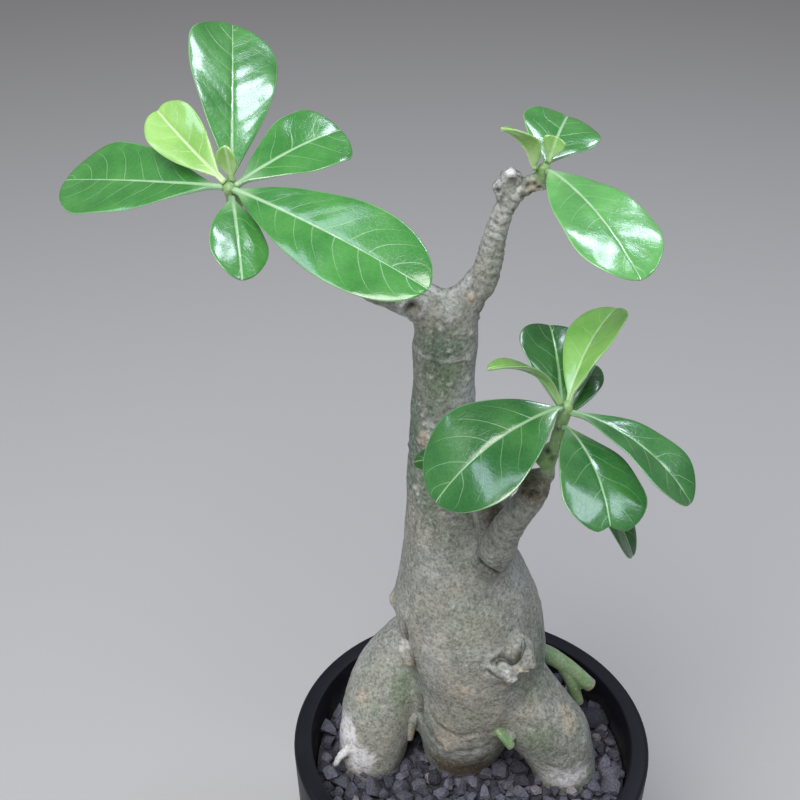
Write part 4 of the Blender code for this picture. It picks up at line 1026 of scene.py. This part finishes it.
def leaf_material(name, deep, fresh, vein, gloss, clear=0.12):
    """A leaf's finish: its deep and fresh greens, the colour of its veins, how dull it is and how clear."""
    mat, tree, shader = new_material(name)
    place = own_place(tree)
    mark = add(tree, "ShaderNodeGroup", node_tree=marks).outputs
    patches = cloud(tree, place, 0.012, 3.0, 0.55)
    green = blend(tree, ramp(tree, patches, 0.3, 0.7), (*deep, 1), (*fresh, 1))
    for label, amount in (("Net", 0.04), ("Foot", 0.55), ("Veins", 0.42), ("Margin", 0.5), ("Rib", 0.92)):
        green = blend(tree, times(tree, mark[label], amount), green, (*vein, 1))
    tree.links.new(green, shader.inputs["Base Color"])
    tree.links.new(ramp(tree, patches, 0.2, 0.8, gloss, gloss + 0.1), shader.inputs["Roughness"])
    lines = maths(tree, "ADD", mark["Veins"], times(tree, mark["Net"], 0.25))
    ripple = maths(tree, "SUBTRACT", cloud(tree, place, 0.0035, 2.0), times(tree, lines, 0.35))
    emboss(tree, shader, ripple, 0.22, 0.0006)
    for label, value in (("Specular IOR Level", 0.6), ("Coat Weight", 0.6), ("Coat Roughness", 0.12),
                         ("Subsurface Weight", clear), ("Subsurface Radius", (0.0012, 0.0024, 0.0006))):
        shader.inputs[label].default_value = value
    return mat


leaf_green = leaf_material("leaf_green", (0.039, 0.208, 0.040), (0.071, 0.290, 0.058),
                           (0.38, 0.58, 0.35), 0.2)
leaf_fresh = leaf_material("leaf_fresh", (0.088, 0.325, 0.080), (0.138, 0.43, 0.112),
                           (0.42, 0.62, 0.38), 0.2, 0.2)
# Two darker copies of the green are painted shade for the side rosette's leaves that lie in shade.
leaf_painted_half_shade = leaf_material("leaf_painted_half_shade", (0.027, 0.142, 0.035), (0.052, 0.206, 0.051),
                            (0.32, 0.52, 0.30), 0.2)
leaf_painted_shade = leaf_material("leaf_painted_shade", (0.012, 0.085, 0.016), (0.03, 0.145, 0.028), (0.24, 0.44, 0.2), 0.18)
leaf_young = leaf_material("leaf_young", (0.15, 0.39, 0.07), (0.24, 0.50, 0.11),
                           (0.44, 0.64, 0.32), 0.24, 0.35)
leaf_new = leaf_material("leaf_new", (0.24, 0.50, 0.11), (0.36, 0.64, 0.17), (0.55, 0.74, 0.40), 0.24, 0.5)
# The leaves that are younger or paler than the rest, and those painted darker as shade, by their places in
# LEAVES.
FINISHES = {
    "left": {5: leaf_new, 7: leaf_new},
    "top": {1: leaf_fresh, 3: leaf_new, 4: leaf_young},
    "side": {1: leaf_painted_half_shade, 2: leaf_painted_half_shade, 3: leaf_painted_half_shade, 4: leaf_young, 5: leaf_young,
             6: leaf_painted_shade, 7: leaf_painted_shade, 8: leaf_painted_shade, 9: leaf_painted_shade},
}
for rosette_name, leaves in LEAVES.items():
    for number, leaf in enumerate(leaves, start=1):
        rng = random.Random(number * 7 + len(rosette_name))
        node_name = f"leaf_{rosette_name}_{number}"
        blade_obj = make_leaf(f"blade_{rosette_name}_{number}", ROSETTES[rosette_name], leaf, rng)
        finish = FINISHES[rosette_name].get(number, leaf_green)
        young = finish in (leaf_new, leaf_young)
        blade_obj.data.materials.append(finish)
        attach(blade_obj, "root")
        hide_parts(node_name)


# ---------------------------------------------------------------- floor, light and camera
# A plain pale floor, wide soft lights overhead that the leaves mirror, and a soft light in front.

floor_reach = 6
floor_mesh = bpy.data.meshes.new("floor")
corners = [(x * floor_reach, y * floor_reach, 0) for x, y in ((-1, -1), (1, -1), (1, 1), (-1, 1))]
floor_mesh.from_pydata(corners, [], [(0, 1, 2, 3)])
floor = new_object("floor", floor_mesh)
floor_pale, tree, shader = new_material("floor_pale")
shader.inputs["Base Color"].default_value = (0.5, 0.49, 0.485, 1)
shader.inputs["Roughness"].default_value = 0.9
floor.data.materials.append(floor_pale)


def soft_light(name, place, aim, size, power, tint):
    lamp = bpy.data.lights.new(name, "AREA")
    lamp.shape = "RECTANGLE"
    lamp.size, lamp.size_y = size
    lamp.energy = power
    lamp.color = tint
    made = new_object(name, lamp)
    made.location = place
    made.rotation_euler = (Vector(aim) - Vector(place)).to_track_quat("-Z", "Y").to_euler()


# Each light: its name, its place and what it is aimed at, its size, its power in watts and its colour.
soft_light("ceiling_left", (-0.69, -0.06, 1.20), (-0.02, 0, 0.28), (0.42, 0.42), 3.2, (0.68, 0.80, 1.0))
soft_light("ceiling_right", (0.37, 0.43, 1.28), (0, 0, 0.28), (0.25, 0.25), 3.9, (0.76, 0.82, 1.0))
soft_light("ceiling_side", (0.815, -0.06, 1.0), (0, 0, 0.24), (0.28, 0.28), 2.0, (0.72, 0.84, 1.0))
soft_light("ceiling_front", (-0.16, -0.58, 1.22), (0, 0, 0.24), (0.55, 0.55), 8.5, (1.0, 0.98, 0.95))
soft_light("front_left", (-0.50, -0.96, 1.10), (0, 0, 0.18), (0.8, 0.8), 8.5, (1.0, 0.99, 0.97))
world = bpy.data.worlds.new("room")
world.use_nodes = True
backdrop = world.node_tree.nodes["Background"].inputs
backdrop["Color"].default_value = (0.8, 0.79, 0.78, 1)
backdrop["Strength"].default_value = 0.22
scene.world = world

camera_down = 31.76
camera_data = bpy.data.cameras.new("camera")
camera_data.lens = 58.5
camera_data.sensor_width = 36
camera = new_object("camera", camera_data)
camera.location = (-0.0238, -0.3135, 0.4307)
camera.rotation_euler = (math.radians(90 - camera_down), 0, 0)
scene.camera = camera
scene.view_settings.view_transform = "Standard"
